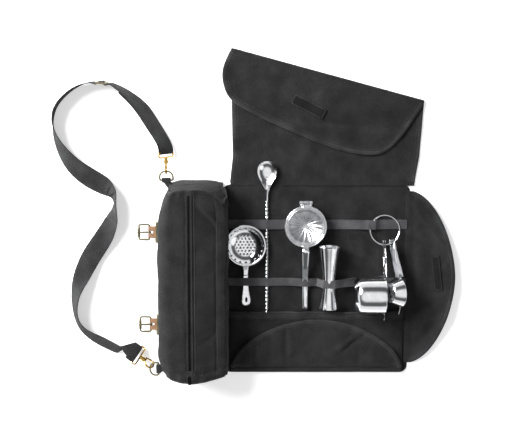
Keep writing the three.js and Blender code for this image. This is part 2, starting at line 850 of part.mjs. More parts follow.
function citrusPress() {
  const wall = pressWall;
  const outer = pressRadius;
  const flange = outer + pressRim;
  const flangeZ = pressRimZ - wall;
  const waist = outer * pressWaistShare;
  const floorRadius = outer * pressFloorShare;
  const waistZ = pressFloor + pressDepth * pressWaistRiseShare;
  const lowerProfile = [
    [0, pressFloor],
    [floorRadius, pressFloor],
    [waist, waistZ],
    [outer, flangeZ],
    [flange, flangeZ],
    [flange, pressRimZ],
    [outer - wall, pressRimZ],
    [waist - wall, waistZ + wall],
    [floorRadius - wall, pressFloor + wall],
    [0, pressFloor + wall],
  ];
  const bowl = turned(lowerProfile, 40).translate(pressX, pressY, 0);
  const drains = Array.from({ length: pressDrainCount }, (_, i) => {
    const angle = (360 * i) / pressDrainCount;
    const slot = block(
      floorRadius / 3,
      floorRadius / 3 + pressDrainLength,
      -pressDrainWidth / 2,
      pressDrainWidth / 2,
      pressFloor - overrun,
      pressFloor + wall + overrun,
    );
    return slot.rotateZ(radians(angle)).translate(pressX, pressY, 0);
  });
  const onHinge = (across) => vec(pressX + across, pressHingeY, pressHingeZ);
  const hingeRod = (from, to) => rod(onHinge(from), onHinge(to), pressHingeRadius, 16);
  const pinReach = 3 * pressHandleWidth;
  const pinHole = rod(onHinge(-pinReach), onHinge(pinReach), pressPinRadius + gap, 12);
  const rimBackY = pressY + flange;
  const arm = (x0, x1, z0, z1) =>
    block(pressX + x0, pressX + x1, rimBackY - 2 * overrun, pressHingeY - pressHingeRadius / 2, z0, z1);
  const earOuter = pressEarInside + pressEarWidth;
  const lowerEars = [-1, 1].flatMap((sign) => {
    const x0 = Math.min(sign * (pressEarInside + gap), sign * earOuter);
    const x1 = Math.max(sign * (pressEarInside + gap), sign * earOuter);
    return [hingeRod(x0, x1), arm(x0, x1, pressRimZ - 2 * wall, pressRimZ)];
  });
  const lower = join(cut(bowl, ...drains), pressHandle(pressRimZ, pressHandleZ), ...lowerEars);
  add('press_lower', 'steel', cut(lower, pinHole));

  const domeRimZ = pressRimZ + gap;
  const segments = pressFluteCount * 3;
  const domeRadius = outer - wall - pressDomeInset;
  const fluted = (radius, z, depth) =>
    Array.from({ length: segments }, (_, i) => {
      const angle = (2 * Math.PI * i) / segments;
      const wave = depth * Math.cos(pressFluteCount * angle);
      return vec(pressX + radius * Math.cos(angle), pressY + radius * Math.sin(angle), z + wave);
    });
  const ripples = [0, pressFluteHeight / 4, pressFluteHeight / 2, 0];
  const domeRings = (lift) =>
    pressDomeShares.map(([share, drop], i) =>
      fluted(domeRadius * share, domeRimZ - pressDomeDepth * drop + lift, ripples[i]),
    );
  const dome = skin([
    ...domeRings(0),
    fluted(flange, domeRimZ, 0),
    fluted(flange, domeRimZ + wall, 0),
    fluted(domeRadius - wall, domeRimZ + wall, 0),
    ...domeRings(wall).reverse().slice(1),
  ]);
  const knuckle = hingeRod(gap - pressEarInside, pressEarInside - gap);
  const tongue = arm(gap - pressEarInside, pressEarInside - gap, domeRimZ, domeRimZ + 2 * wall);
  const upper = join(dome, pressHandle(domeRimZ + pressHandleThickness, pressUpperHandleZ), tongue, knuckle);
  add('press_upper', 'steel', cut(upper, pinHole));

  const head = earOuter + pressPinRadius;
  add('press_pin', 'steel', join(
    rod(onHinge(-head), onHinge(head), pressPinRadius),
    rod(onHinge(-head), onHinge(-earOuter - gap), 2 * pressPinRadius),
    rod(onHinge(earOuter + gap), onHinge(head), 2 * pressPinRadius),
  ));
}

// Jigger: two cones joined at a waist, lying on its two rims
function jiggerAxisZ(y) {
  const topZ = onPanel + jiggerTopRadius;
  const bottomZ = onPanel + jiggerBottomRadius;
  return bottomZ + ((topZ - bottomZ) * (y - jiggerBottomY)) / (jiggerTopY - jiggerBottomY);
}

function jiggerRadiusAt(y) {
  const share = (y - jiggerWaistY) / (jiggerTopY - jiggerWaistY);
  return jiggerWaistRadius + (jiggerTopRadius - jiggerWaistRadius) * share;
}

function jigger() {
  const length = jiggerTopY - jiggerBottomY;
  const waist = jiggerWaistY - jiggerBottomY;
  const wall = jiggerWall;
  const profile = [
    [0, waist - jiggerFloor / 2],
    [jiggerWaistRadius - wall, waist - jiggerFloor / 2],
    [jiggerBottomRadius - wall, wall],
    [jiggerBottomRadius - wall, 0],
    [jiggerBottomRadius, 0],
    [jiggerBottomRadius, wall],
    [jiggerWaistRadius, waist],
    [jiggerTopRadius, length - wall],
    [jiggerTopRadius, length],
    [jiggerTopRadius - wall, length],
    [jiggerTopRadius - wall, length - wall],
    [jiggerWaistRadius - wall, waist + jiggerFloor / 2],
    [0, waist + jiggerFloor / 2],
  ];
  const lean = Math.atan2(jiggerTopRadius - jiggerBottomRadius, length);
  const cone = turned(profile, 32).rotateX(-Math.PI / 2 + lean);
  const seat = onPanel + jiggerBottomRadius / Math.cos(lean) + gap;
  add('jigger', 'steel', cone.translate(jiggerX, jiggerBottomY, seat));
}

// Measuring cups: round cups with a spout and a long handle that hangs on the ring
const cupSeatZ = onPanel;

function cupBody(rimRadius, baseRadius, depth) {
  const wall = cupWall;
  const round = depth / 6;
  const profile = [
    [0, -depth],
    [baseRadius - round, -depth],
    [baseRadius, round - depth],
    [rimRadius, 0],
    [rimRadius - wall, 0],
    [baseRadius - wall, round - depth],
    [baseRadius - round - wall / 2, wall - depth],
    [0, wall - depth],
  ];
  return turned(profile, 36);
}

// The spout is a thin lip that leaves the rim on the side away from the handle
function cupLip(rimRadius) {
  const half = cupSpout / 2;
  const outline = [
    [-half, cupWall / 2 - rimRadius],
    [half, cupWall / 2 - rimRadius],
    [half / 5, -rimRadius - cupSpout],
    [-half / 5, -rimRadius - cupSpout],
  ];
  return plate(outline, -cupWall, cupWall);
}

const ringPass = (x) => measureRingY - Math.sqrt(measureRingRadius ** 2 - (x - measureRingX) ** 2);

function handleTo(fromAt, fromSide, toAt, toSide, through) {
  const along = toAt.clone().sub(fromAt).normalize();
  const end = toAt.clone().addScaledVector(along, cupHandleHole);
  const stations = [fromAt, fromAt.clone().lerp(toAt, 1 / 2), toAt, end];
  const sides = [fromSide, fromSide.clone().lerp(toSide, 1 / 2).normalize(), toSide, toSide];
  const strip = band(
    stations.map((at, i) => {
      const up = along.clone().cross(sides[i]).normalize();
      const side = up.clone().cross(along).normalize();
      return { at, side, up, share: cupHandleShares[i] };
    }),
    cupHandleWidth,
    cupHandleThickness,
  );
  return cut(strip, rod(toAt.clone().sub(through), toAt.clone().add(through), cupHandleHole / 2, 16));
}

function measuringCups() {
  const large = cupBody(largeCupRadius, largeCupRadius - cupWall, largeCupDepth);
  const layDown = (geometry) => geometry.rotateY(Math.PI / 2);
  const centreZ = cupSeatZ + largeCupRadius;
  const handleStart = (x, radius) => vec(x, largeCupY + radius - cupWall / 2, centreZ);
  const upright = vec(0, 0, 1);
  const across = vec(cupHandleWidth, 0, 0);
  const ringPoint = (x) => vec(x, ringPass(x), measureRingZ(ringPass(x)));
  const largeHandleX = largeCupRimX - cupHandleThickness;
  const largeCup = layDown(join(large, cupLip(largeCupRadius))).translate(largeCupRimX, largeCupY, centreZ);
  const largeHandle = handleTo(
    handleStart(largeHandleX, largeCupRadius), upright, ringPoint(largeHandleX), upright, across,
  );
  add('measuring_cup_large', 'steel', join(largeCup, largeHandle));

  const mediumRimX = largeCupRimX + cupNest;
  const medium = layDown(cupBody(mediumCupRadius, mediumCupRadius - 2 * cupWall, mediumCupDepth));
  const mediumCentreZ = cupSeatZ + cupWall + gap + mediumCupRadius;
  const mediumHandleX = mediumRimX + gap;
  const mediumHandle = handleTo(
    vec(mediumHandleX, largeCupY + mediumCupRadius - cupWall / 2, mediumCentreZ + cupHandleWidth / 4),
    upright,
    ringPoint(mediumHandleX),
    upright,
    across,
  );
  const mediumBody = medium.translate(mediumRimX, largeCupY, mediumCentreZ);
  add('measuring_cup_medium', 'steel', join(mediumBody, mediumHandle));

  const tilt = radians(90 + smallCupTiltDeg);
  const smallZ = cupSeatZ + smallCupRadius * Math.cos(radians(smallCupTiltDeg)) + elasticThickness / 2;
  const small = join(cupBody(smallCupRadius, smallCupBaseRadius, smallCupDepth), cupLip(smallCupRadius));
  small.rotateY(tilt).translate(smallCupX, smallCupY, smallZ);
  const smallHandleX = measureRingX + measureRingRadius / 2;
  const alongRing = vec(measureRingY - ringPass(smallHandleX), smallHandleX - measureRingX, 0);
  const leaning = vec(Math.cos(radians(2 * smallCupTiltDeg)), 0, Math.sin(radians(2 * smallCupTiltDeg)));
  const smallHandle = handleTo(
    vec(smallCupX + cupWall, smallCupY + smallCupRadius - 2 * cupWall, smallZ),
    leaning,
    ringPoint(smallHandleX),
    leaning,
    alongRing.setLength(cupHandleWidth),
  );
  add('measuring_cup_small', 'steel', join(small, smallHandle));

  const ring = flatWire(circle(0, 0, measureRingRadius, 36), measureRingWire / 2, { endless: true });
  ring.rotateX(Math.atan(measureRingSlope)).translate(measureRingX, measureRingY, measureRingZ(measureRingY));
  add('measuring_ring', 'steel', ring);
}

// Barrel section, counter-clockwise in X and Z from its left foot. It narrows below to clear the strainer.
const shellLeft = barrelLeftX + barrelTuck;
const shellRight = barrelRightX - barrelTuck;
const cornerZ = barrelHeight - barrelCorner;

const barrelFootRightX = panelLeft - gap;

function barrelOutline() {
  const bulge = (barrelFootRightX + 2 * barrelRightX) / 3;
  return [
    [barrelFootLeftX, 0],
    [barrelFootRightX, 0],
    [barrelFootRightX, barrelKnee],
    [bulge, barrelWaistLow],
    [barrelRightX, barrelWaist],
    ...arc(shellRight - barrelCorner, cornerZ, barrelCorner, 0, 90, 4),
    ...arc(shellLeft + barrelCorner, cornerZ, barrelCorner, 90, 180, 4),
    [barrelLeftX, barrelWaist],
    [barrelLeftX, barrelFootRise],
  ];
}

// Moves every side of a counter-clockwise outline inward by the same distance.
function inset(points, distance) {
  const normalTo = (from, to) => {
    const length = Math.hypot(to[0] - from[0], to[1] - from[1]);
    return [(from[1] - to[1]) / length, (to[0] - from[0]) / length];
  };
  return points.map((point, i) => {
    const before = normalTo(points[(i + points.length - 1) % points.length], point);
    const after = normalTo(point, points[(i + 1) % points.length]);
    const scale = distance / (1 + before[0] * after[0] + before[1] * after[1]);
    return [point[0] + (before[0] + after[0]) * scale, point[1] + (before[1] + after[1]) * scale];
  });
}

const zipFlapHalfGap = sliderWidth / 2 + 2 * gap;
const garageHalf = sliderWidth / 2 + gap;
const flapStart = zipFrontY + gap;
const flapLength = zipBackY - zipFrontY - 2 * gap;

function barrel() {
  const outline = barrelOutline();
  const shellY = barrelFrontY + canvasThickness + gap;
  const shellLength = barrelBackY - barrelFrontY - 2 * (canvasThickness + gap);
  const tube = alongY(outline, shellY, shellLength, [inset(outline, canvasThickness)]);
  const mouth = block(
    barrelLeftX - overrun,
    barrelRightX + overrun,
    zipFrontY,
    zipBackY,
    barrelShoulder,
    barrelHeight + overrun,
  );
  const garage = block(
    zipX - garageHalf,
    zipX + garageHalf,
    zipFrontY - zipGarageLength,
    zipFrontY + overrun,
    barrelShoulder,
    barrelHeight + overrun,
  );
  add('compartment_shell', 'canvas', cut(tube, mouth, garage));
  add('end_panel_front', 'canvas', alongY(outline, barrelFrontY, canvasThickness));
  add('end_panel_back', 'canvas', alongY(outline, barrelBackY - canvasThickness, canvasThickness));
}

// Zip flaps curve over the barrel's corners and meet at the zip; each carries its tape and chain
const chainZ = barrelHeight - canvasThickness - gap - zipTapeThickness / 2;

function zipFlaps() {
  [['left', 1, shellLeft], ['right', -1, shellRight]].forEach(([name, inward, wallX]) => {
    const centre = wallX + inward * barrelCorner;
    const bend = (radius) => arc(0, cornerZ, radius, 180, 90, 4).map(([x, z]) => [centre + inward * x, z]);
    const edge = zipX - inward * zipFlapHalfGap;
    const profile = [
      [wallX, barrelShoulder + gap],
      ...bend(barrelCorner),
      [edge, barrelHeight],
      [edge, barrelHeight - canvasThickness],
      ...bend(barrelCorner - canvasThickness).reverse(),
      [wallX + inward * canvasThickness, barrelShoulder + gap],
    ];
    add(`zip_flap_${name}`, 'canvas', alongY(profile, flapStart, flapLength));
    const chainEdge = zipX - inward * (zipChainGap / 2);
    const chainBack = chainEdge - inward * zipChainWidth;
    const tapeEdge = chainBack - inward * zipTapeWidth;
    const tape = [
      [chainEdge, chainZ - zipChainHeight / 2],
      [chainEdge, chainZ + zipChainHeight / 2],
      [chainBack, chainZ + zipChainHeight / 2],
      [chainBack, chainZ + zipTapeThickness / 2],
      [tapeEdge, chainZ + zipTapeThickness / 2],
      [tapeEdge, chainZ - zipTapeThickness / 2],
      [chainBack, chainZ - zipTapeThickness / 2],
      [chainBack, chainZ - zipChainHeight / 2],
    ];
    add(`zip_tape_${name}`, 'blackMetal', alongY(tape, flapStart, flapLength));
  });
}

// Slider: two plates joined by a post between the chains, with a bridge for the pull
const sliderY = zipFrontY - zipGarageLength + gap + sliderLength / 2;
const pullZ = barrelHeight + gap + pullThickness / 2;

function zipSlider() {
  const half = sliderLength / 2;
  const plateAt = (z) => block(
    zipX - sliderWidth / 2, zipX + sliderWidth / 2, sliderY - half, sliderY + half, z, z + sliderPlate,
  );
  const under = chainZ - zipChainHeight / 2 - gap - sliderPlate;
  const over = chainZ + zipChainHeight / 2 + gap;
  const post = block(
    zipX - sliderPost / 2, zipX + sliderPost / 2, sliderY, sliderY + half / 2, under, over + sliderPlate,
  );
  const bridgeZ = pullZ + pullThickness + gap;
  const bridgeProfile = [
    [sliderY - half / 2, over],
    [sliderY + half / 2, over],
    [sliderY + half / 2, bridgeZ + sliderBridge],
    [sliderY - half / 2, bridgeZ + sliderBridge],
  ];
  const windowProfile = [
    [sliderY - half / 2 + sliderBridge, over + sliderPlate],
    [sliderY + half / 2 - sliderBridge, over + sliderPlate],
    [sliderY + half / 2 - sliderBridge, bridgeZ],
    [sliderY - half / 2 + sliderBridge, bridgeZ],
  ];
  const bridge = cut(
    alongX(bridgeProfile, zipX - sliderBridge / 2, sliderBridge),
    alongX(windowProfile, zipX - sliderBridge, 2 * sliderBridge),
  );
  add('zip_slider', 'blackMetal', join(plateAt(under), plateAt(over), post, bridge));

  const reach = pullThickness / 2;
  const fork = roundedRectangle(
    zipX - pullWidth / 2, zipX + pullWidth / 2, sliderY - pullLength, sliderY + reach, pullThickness,
  );
  const eye = rectangle(
    zipX - sliderBridge / 2 - 2 * gap, zipX + sliderBridge / 2 + 2 * gap, sliderY - pullForkLength, sliderY - reach,
  );
  add('zip_pull', 'blackMetal', plate(fork, pullZ - reach, pullThickness, [eye]));
}

// Roller buckles on the barrel's left wall, each on a folded leather tab with a keeper
const buckleBarX = barrelLeftX - buckleTabLength + buckleTabThickness / 2;

function buckles() {
  [['upper', buckleUpperY], ['lower', buckleLowerY]].forEach(([name, y]) => {
    const half = buckleTabThickness / 2;
    const wallX = barrelLeftX - gap;
    const endX = barrelLeftX - buckleTabLength;
    const tabProfile = [
      [wallX, buckleHeight - half],
      [wallX, buckleHeight + half],
      ...arc(endX + half, buckleHeight, half, 90, 270, 6),
    ];
    const frameWire = buckleWire / 2;
    const bar = rod(
      vec(buckleBarX, y - buckleTabWidth, buckleHeight),
      vec(buckleBarX, y + buckleTabWidth, buckleHeight),
      frameWire + gap,
      10,
    );
    const slot = block(
      endX - overrun,
      buckleBarX + frameWire + 2 * prongWidth,
      y - prongSlotWidth / 2,
      y + prongSlotWidth / 2,
      buckleHeight - 2 * half,
      buckleHeight + 2 * half,
    );
    const keeperX = barrelLeftX - keeperWidth - 2 * gap;
    const tabWidth = buckleInsideWidth - buckleWire;
    const tab = alongY(tabProfile, y - tabWidth / 2, tabWidth);
    add(`buckle_tab_${name}`, 'leather', cut(tab, bar, slot));

    const keeperHalf = buckleTabWidth / 2;
    const insideHalf = tabWidth / 2 + gap;
    const keeperTop = half + gap + leatherThickness + gap;
    const keeper = cut(
      block(
        keeperX,
        keeperX + keeperWidth,
        y - keeperHalf,
        y + keeperHalf,
        buckleHeight - half - gap - keeperThickness,
        buckleHeight + keeperTop + keeperThickness,
      ),
      block(
        keeperX - overrun,
        keeperX + keeperWidth + overrun,
        y - insideHalf,
        y + insideHalf,
        buckleHeight - half - gap,
        buckleHeight + keeperTop,
      ),
    );
    add(`buckle_keeper_${name}`, 'leather', keeper);

    const insideX = buckleBarX - buckleWire - buckleInsideLength;
    const sideY = (buckleInsideWidth + buckleWire) / 2;
    const farX = insideX - frameWire;
    const loop = roundedRectangle(farX, buckleBarX, y - sideY, y + sideY, buckleWire, 3);
    const frame = flatWire(loop, frameWire, { endless: true, sides: 8 }).translate(0, 0, buckleHeight);
    const rollerHalf = buckleInsideWidth / 2 - buckleWire;
    const roller = rod(
      vec(farX, y - rollerHalf, buckleHeight), vec(farX, y + rollerHalf, buckleHeight), rollerRadius, 12,
    );
    add(`buckle_frame_${name}`, 'antique', join(frame, roller));

    const knuckleRadius = frameWire + gap + prongWidth / 2;
    const knuckle = cut(
      rod(
        vec(buckleBarX, y - prongWidth / 2, buckleHeight),
        vec(buckleBarX, y + prongWidth / 2, buckleHeight),
        knuckleRadius,
        12,
      ),
      bar,
    );
    const prongTopZ = buckleHeight + rollerRadius + gap + prongWidth / 2;
    const prongBar = [
      [buckleBarX - frameWire - gap, buckleHeight - prongWidth / 3],
      [buckleBarX - frameWire - gap, buckleHeight + prongWidth],
      [farX, prongTopZ + prongWidth / 2],
      [farX - rollerRadius, prongTopZ + prongWidth / 3],
      [farX - rollerRadius, prongTopZ - prongWidth / 2],
      [farX, prongTopZ - prongWidth / 2],
    ];
    const prong = alongY(prongBar, y - prongWidth / 2, prongWidth);
    add(`buckle_prong_${name}`, 'antique', join(knuckle, prong));
  });
}

// Places a piece drawn in its own X and Y: its X runs along ex, its Y along ey.
function placed(geometry, origin, ex, ey) {
  const ez = ex.clone().cross(ey);
  const turn = new THREE.Matrix4().makeBasis(ex, ey, ez).setPosition(origin);
  return geometry.applyMatrix4(turn);
}

// D-ring hung in a fabric tab. In its own frame the bar lies along X and the ring reaches along Y.
const ringWidth = ringInsideWidth + ringWire;
const ringReach = ringInsideDepth + ringWire;

function dRing(name, wall, ex, ey) {
  const half = ringWidth / 2;
  // Shares of the ring's half width and of its reach, round the D from the middle of the bar
  const dShares = [
    [0, 0], [0.88, 0], [1, 0.12], [1, 0.42], [0.93, 0.62], [0.76, 0.8], [0.5, 0.93], [0.26, 0.985], [0, 1],
  ];
  const leftShares = dShares.slice(1, -1).reverse().map(([u, v]) => [-u, v]);
  const points = [...dShares, ...leftShares].map(([u, v]) => [u * half, v * ringReach]);
  const bar = wall.clone().addScaledVector(ey, gap + ringTabDepth / 2);
  const ring = flatWire(points, ringWire / 2, { endless: true, sides: 8 });
  add(`d_ring_${name}`, 'antique', placed(ring, bar, ex, ey));
  const depth = ringTabDepth / 2;
  const tab = cut(
    block(-ringTabWidth / 2, ringTabWidth / 2, -depth, depth, -ringTabHeight / 2, ringTabHeight / 2),
    rod(vec(-ringTabWidth, 0, 0), vec(ringTabWidth, 0, 0), ringWire / 2 + gap, 10),
  );
  add(`ring_tab_${name}`, 'canvas', placed(tab, bar, ex, ey));
  return (u, v) => bar.clone().addScaledVector(ex, u * half).addScaledVector(ey, v * ringReach);
}

// Snap hook: a barrel on the swivel's stem, a hook under it and a sprung gate. Y runs up to the strap.
function snapHook(name, origin, ex, ey) {
  const wireRadius = hookWire / 2;
  const barrelTop = -gap;
  const barrelBottom = barrelTop - hookBarrelLength;
  // Shares of the hook's half width and of its reach, from the barrel down and round to the tip
  const hookShares = [
    [0, -0.24], [0.42, -0.31], [0.8, -0.43], [1, -0.6], [1, -0.76], [0.8, -0.9], [0.44, -0.98], [0, -1],
    [-0.44, -0.98], [-0.8, -0.9], [-0.98, -0.76],
  ];
  const points = hookShares.map(([u, v]) => [u * hookHalfWidth, v * hookReach]);
  const bend = flatWire(points, wireRadius, { sides: 8 });
  const barrelRod = rod(vec(0, barrelTop, 0), vec(0, barrelBottom, 0), hookBarrelRadius, 12);
  const bore = rod(
    vec(0, overrun, 0), vec(0, barrelBottom + overrun, 0), swivelStemRadius + gap, 10,
  );
  const shoulder = block(
    -hookHalfWidth * hookShoulderShare, 0, barrelBottom - wireRadius, barrelBottom + wireRadius, -wireRadius, wireRadius,
  );
  const pinX = -hookHalfWidth * gatePinShare;
  const slot = block(
    -hookHalfWidth,
    -hookHalfWidth * gateSlotShare,
    barrelBottom - 2 * wireRadius,
    barrelBottom + overrun / 4,
    -gateWidth / 4 - gap,
    gateWidth / 4 + gap,
  );
  const hook = cut(join(barrelRod, bend, shoulder), bore, slot);
  add(`snap_hook_${name}`, 'gold', placed(hook, origin, ex, ey));

  const gateTop = barrelBottom;
  const tongue = block(
    pinX - gateWidth / 3, pinX + gateWidth / 3, gateTop - gateWidth, gateTop, -gateWidth / 4, gateWidth / 4,
  );
  const bladeOutline = [
    [pinX - gateWidth / 3, gateTop - wireRadius - gap],
    [-hookHalfWidth - gateWidth / 3, gateTop - gateLength],
    [-hookHalfWidth + gateWidth * gateTipShare, gateTop - gateLength],
    [pinX + gateWidth / 3, gateTop - wireRadius - gap],
  ];
  const gate = join(plate(bladeOutline, -gateWidth / 2, gateWidth), tongue);
  add(`hook_gate_${name}`, 'gold', placed(gate, origin, ex, ey));
}

// Swivel eye: a stem and boss on a long loop that takes the webbing
function swivelEye(name, origin, ex, ey) {
  const wireRadius = eyeWire / 2;
  const bottom = swivelBoss + wireRadius;
  const top = bottom + eyeInsideDepth + eyeWire;
  const half = (eyeInsideWidth + eyeWire) / 2;
  const loop = roundedRectangle(-half, half, bottom, top, eyeWire, 3);
  const frame = flatWire(loop, wireRadius, { endless: true, sides: 8 });
  const boss = rod(vec(0, 0, 0), vec(0, bottom, 0), hookBarrelRadius * swivelBossShare, 12);
  const stem = rod(vec(0, -hookBarrelLength + overrun + gap, 0), vec(0, wireRadius, 0), swivelStemRadius, 10);
  add(`swivel_eye_${name}`, 'gold', placed(join(frame, boss, stem), origin, ex, ey));
  return origin.clone().addScaledVector(ey, top);
}

// Shoulder strap route, in shares of its reach: the middle of the webbing on the floor, and the degrees by
// which the webbing stands on its edge.
// It runs from the upper hook, round the left, to the lower hook.
const strapRouteShares = [
  { x: -2.92, y: 2.73, edge: 60 },
  { x: -3.166, y: 3.179, edge: 58 },
  { x: -3.446, y: 3.46, edge: 72 },
  { x: -3.727, y: 3.647, edge: 84 },
  { x: -4.138, y: 3.694, edge: 88 },
  { x: -4.419, y: 3.609, edge: 90 },
  { x: -4.662, y: 3.422, edge: 90 },
  { x: -4.812, y: 3.216, edge: 88 },
  { x: -4.858, y: 2.973, edge: 82 },
  { x: -4.81, y: 2.693, edge: 68 },
  { x: -4.681, y: 2.412, edge: 48 },
  { x: -4.475, y: 2.132, edge: 26 },
  { x: -4.213, y: 1.926, edge: 12 },
  { x: -3.97, y: 1.795, edge: 20 },
  { x: -3.8, y: 1.653, edge: 52 },
  { x: -3.737, y: 1.467, edge: 80 },
  { x: -3.802, y: 1.177, edge: 50 },
  { x: -3.97, y: 0.823, edge: 22 },
  { x: -4.213, y: 0.468, edge: 14 },
  { x: -4.4, y: 0.094, edge: 30 },
  { x: -4.524, y: -0.262, edge: 58 },
  { x: -4.524, y: -0.673, edge: 70 },
  { x: -4.381, y: -0.954, edge: 60 },
  { x: -4.063, y: -1.159, edge: 48 },
  { x: -3.727, y: -1.33, edge: 52 },
];
// How far along the route the adjuster sits, as a share of its points
const sliderRouteShare = 0.145;
const barLegLength = 14;
const strapSmoothing = 2;
const doubledPitch = webbingThickness + 2 * gap;
const wrapRadius = eyeWire / 2 + gap + webbingThickness / 2;

// The webbing's width direction where it runs along "ahead" and stands on its edge by some degrees
function strapSide(ahead, edge) {
  const lift = radians(edge);
  const across = vec(-ahead.y, ahead.x, 0).normalize();
  return across.multiplyScalar(Math.cos(lift)).add(vec(0, 0, Math.sin(lift)));
}

// Middle of the webbing when it rests on the floor on its lower edge
function strapHeight(edge) {
  const lift = radians(edge);
  return strapFloor + (strapWidth / 2) * Math.sin(lift) + (webbingThickness / 2) * Math.cos(lift);
}

// Turns round a bar: half a circle in the plane across the bar, from one side of the webbing to the other
function wrap(centre, side, out, up, steps) {
  return Array.from({ length: steps + 1 }, (_, i) => {
    const angle = (Math.PI * i) / steps;
    const radial = up.clone().multiplyScalar(-Math.cos(angle)).addScaledVector(out, Math.sin(angle));
    return { at: centre.clone().addScaledVector(radial, wrapRadius), side, up: radial };
  });
}

// Where the lower hook hangs on its ring, in shares of the ring's half width and reach, and which way it points
const lowerHoldShares = [0.66, 0.86];
const lowerHeadingShares = [-0.8, 0.6];

function hardware() {
  const east = vec(1, 0, 0);
  const north = vec(0, 1, 0);
  const upperWall = vec(barrelLeftX + upperRingInset, barrelBackY, hardwareHeight);
  const upperFar = dRing('upper', upperWall, east, north)(0, 1);
  const lowerWall = vec(barrelLeftX, barrelFrontY + ringTabWidth / 2 + gap, hardwareHeight);
  const lowerFar = dRing('lower', lowerWall, north, vec(-1, 0, 0))(lowerHoldShares[0], lowerHoldShares[1]);
  const hold = (ringWire + hookWire) / 2 + 3 * gap;

  const upperOrigin = upperFar.clone().addScaledVector(north, hookReach - hold);
  snapHook('upper', upperOrigin, vec(0, 0, 1), north);
  const upperSide = strapSide(vec(0, 1, 0), strapRouteShares[0].edge);
  const upperTop = swivelEye('upper', upperOrigin, upperSide, north);

  const last = strapRouteShares.at(-1);
  const lowerOut = vec(lowerHeadingShares[0], lowerHeadingShares[1], 0);
  const lowerOrigin = lowerFar.clone().addScaledVector(lowerOut, hookReach - hold);
  const level = vec(-lowerOut.y, lowerOut.x, 0);
  const rolled = level.clone().multiplyScalar(Math.SQRT1_2).add(vec(0, 0, Math.SQRT1_2));
  snapHook('lower', lowerOrigin, rolled, lowerOut);
  const lowerSide = strapSide(lowerOut, last.edge);
  const lowerTop = swivelEye('lower', lowerOrigin, lowerSide, lowerOut);

  shoulderStrap(
    { bar: upperTop, side: upperSide, out: north.clone().negate() },
    { bar: lowerTop, side: lowerSide, out: lowerOut.clone().negate() },
  );
}

// The sewn loop at a bar: the webbing's leg, half a turn round the bar, and the leg that comes back
function barLoop({ bar, side, out }, legLength) {
  const back = out.clone().negate();
  const up = back.clone().cross(side).normalize();
  const turn = wrap(bar, side, out, up, 6);
  const tail = turn[0].at.clone().addScaledVector(back, legLength);
  const lead = turn.at(-1).at.clone().addScaledVector(back, legLength);
  return [{ at: tail, side, up: turn[0].up }, ...turn, { at: lead, side, up: turn.at(-1).up }];
}

// Stations from the middle of the adjuster outward, woven under its end bars and over its middle bar
function woven(middle, ahead) {
  const overMiddle = strapSliderBar / 2 + gap + webbingThickness / 2;
  const underEnd = strapSliderWire / 2 + gap + webbingThickness / 2;
  const endReach = strapSliderInsideLength / 2 + strapSliderWire / 2;
  const weave = [
    [-2 * endReach, 0], [-endReach, -underEnd], [0, overMiddle], [endReach, -underEnd], [2 * endReach, 0],
  ];
  return weave.map(([along, lift]) => ({
    at: middle.at.clone().addScaledVector(ahead, along).addScaledVector(middle.up, lift),
    side: middle.side,
    up: middle.up,
  }));
}

function shoulderStrap(upper, lower) {
  const onRoute = ({ x, y, edge }) => vec(x * strapRouteReach, y * strapRouteReach, edge);
  const routePoints = strapRouteShares.map(onRoute);
  const route = new THREE.CatmullRomCurve3(routePoints, false, 'centripetal');
  const steps = (strapRouteShares.length - 1) * strapSmoothing;
  const frameHalf = (eyeInsideWidth + strapSliderWire) / 2 + strapSliderWire / 2;
  const sliderStep = Math.round(sliderRouteShare * steps);
  const stations = [];
  const headings = [];
  for (let i = 0; i <= steps; i += 1) {
    const p = route.getPoint(i / steps);
    const t = route.getTangent(i / steps);
    const ahead = vec(t.x, t.y, 0).normalize();
    const side = strapSide(ahead, p.z);
    const near = Math.exp(-(((i - sliderStep) / strapSmoothing) ** 2));
    const second = i < sliderStep ? doubledPitch * Math.cos(radians(p.z)) : 0;
    const raised = near * (frameHalf - strapWidth / 2) * Math.sin(radians(p.z)) + second;
    headings.push(ahead);
    const up = ahead.clone().cross(side).normalize();
    stations.push({ at: vec(p.x, p.y, strapHeight(p.z) + raised), side, up });
  }
  const middle = stations[sliderStep];
  const ahead = headings[sliderStep];
  const start = barLoop(upper, barLegLength);
  const turnedOver = ({ at, side, up }) => ({ at, side, up: up.clone().negate() });
  const end = barLoop(lower, barLegLength).reverse().map(turnedOver);
  const beneath = ({ at, side, up }) => ({ at: at.clone().addScaledVector(up, -doubledPitch), side, up });
  const doubled = stations.slice(1, sliderStep - 1).reverse().map(beneath).map(turnedOver);
  const path = [
    ...doubled,
    ...start,
    ...stations.slice(1, sliderStep - 1),
    ...woven(middle, ahead),
    ...stations.slice(sliderStep + 2),
    ...end,
  ];
  add('shoulder_strap', 'webbing', band(path, strapWidth, webbingThickness));

  const halfWidth = (eyeInsideWidth + strapSliderWire) / 2;
  const halfLength = (strapSliderInsideLength + strapSliderWire) / 2;
  const outline = roundedRectangle(-halfWidth, halfWidth, -halfLength, halfLength, strapSliderWire, 3);
  const frame = join(
    flatWire(outline, strapSliderWire / 2, { endless: true, sides: 8 }),
    rod(vec(-halfWidth, 0, 0), vec(halfWidth, 0, 0), strapSliderBar / 2, 8),
  );
  add('strap_slider', 'antique', placed(frame, middle.at, middle.side, ahead));
}

toolPanel();
closingStraps();
topFlap();
rightFlap();
toolPocket();
bottomFlap();
elastics();
julepStrainer();
barSpoon();
citrusPress();
jigger();
measuringCups();
barrel();
zipFlaps();
zipSlider();
buckles();
hardware();

export default bag;
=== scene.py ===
"""Looks of the bartender bag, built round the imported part. Sizes are in millimetres until build() makes metres."""
import math

import bmesh
import bpy
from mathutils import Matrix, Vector, geometry, noise
from mathutils.bvhtree import BVHTree

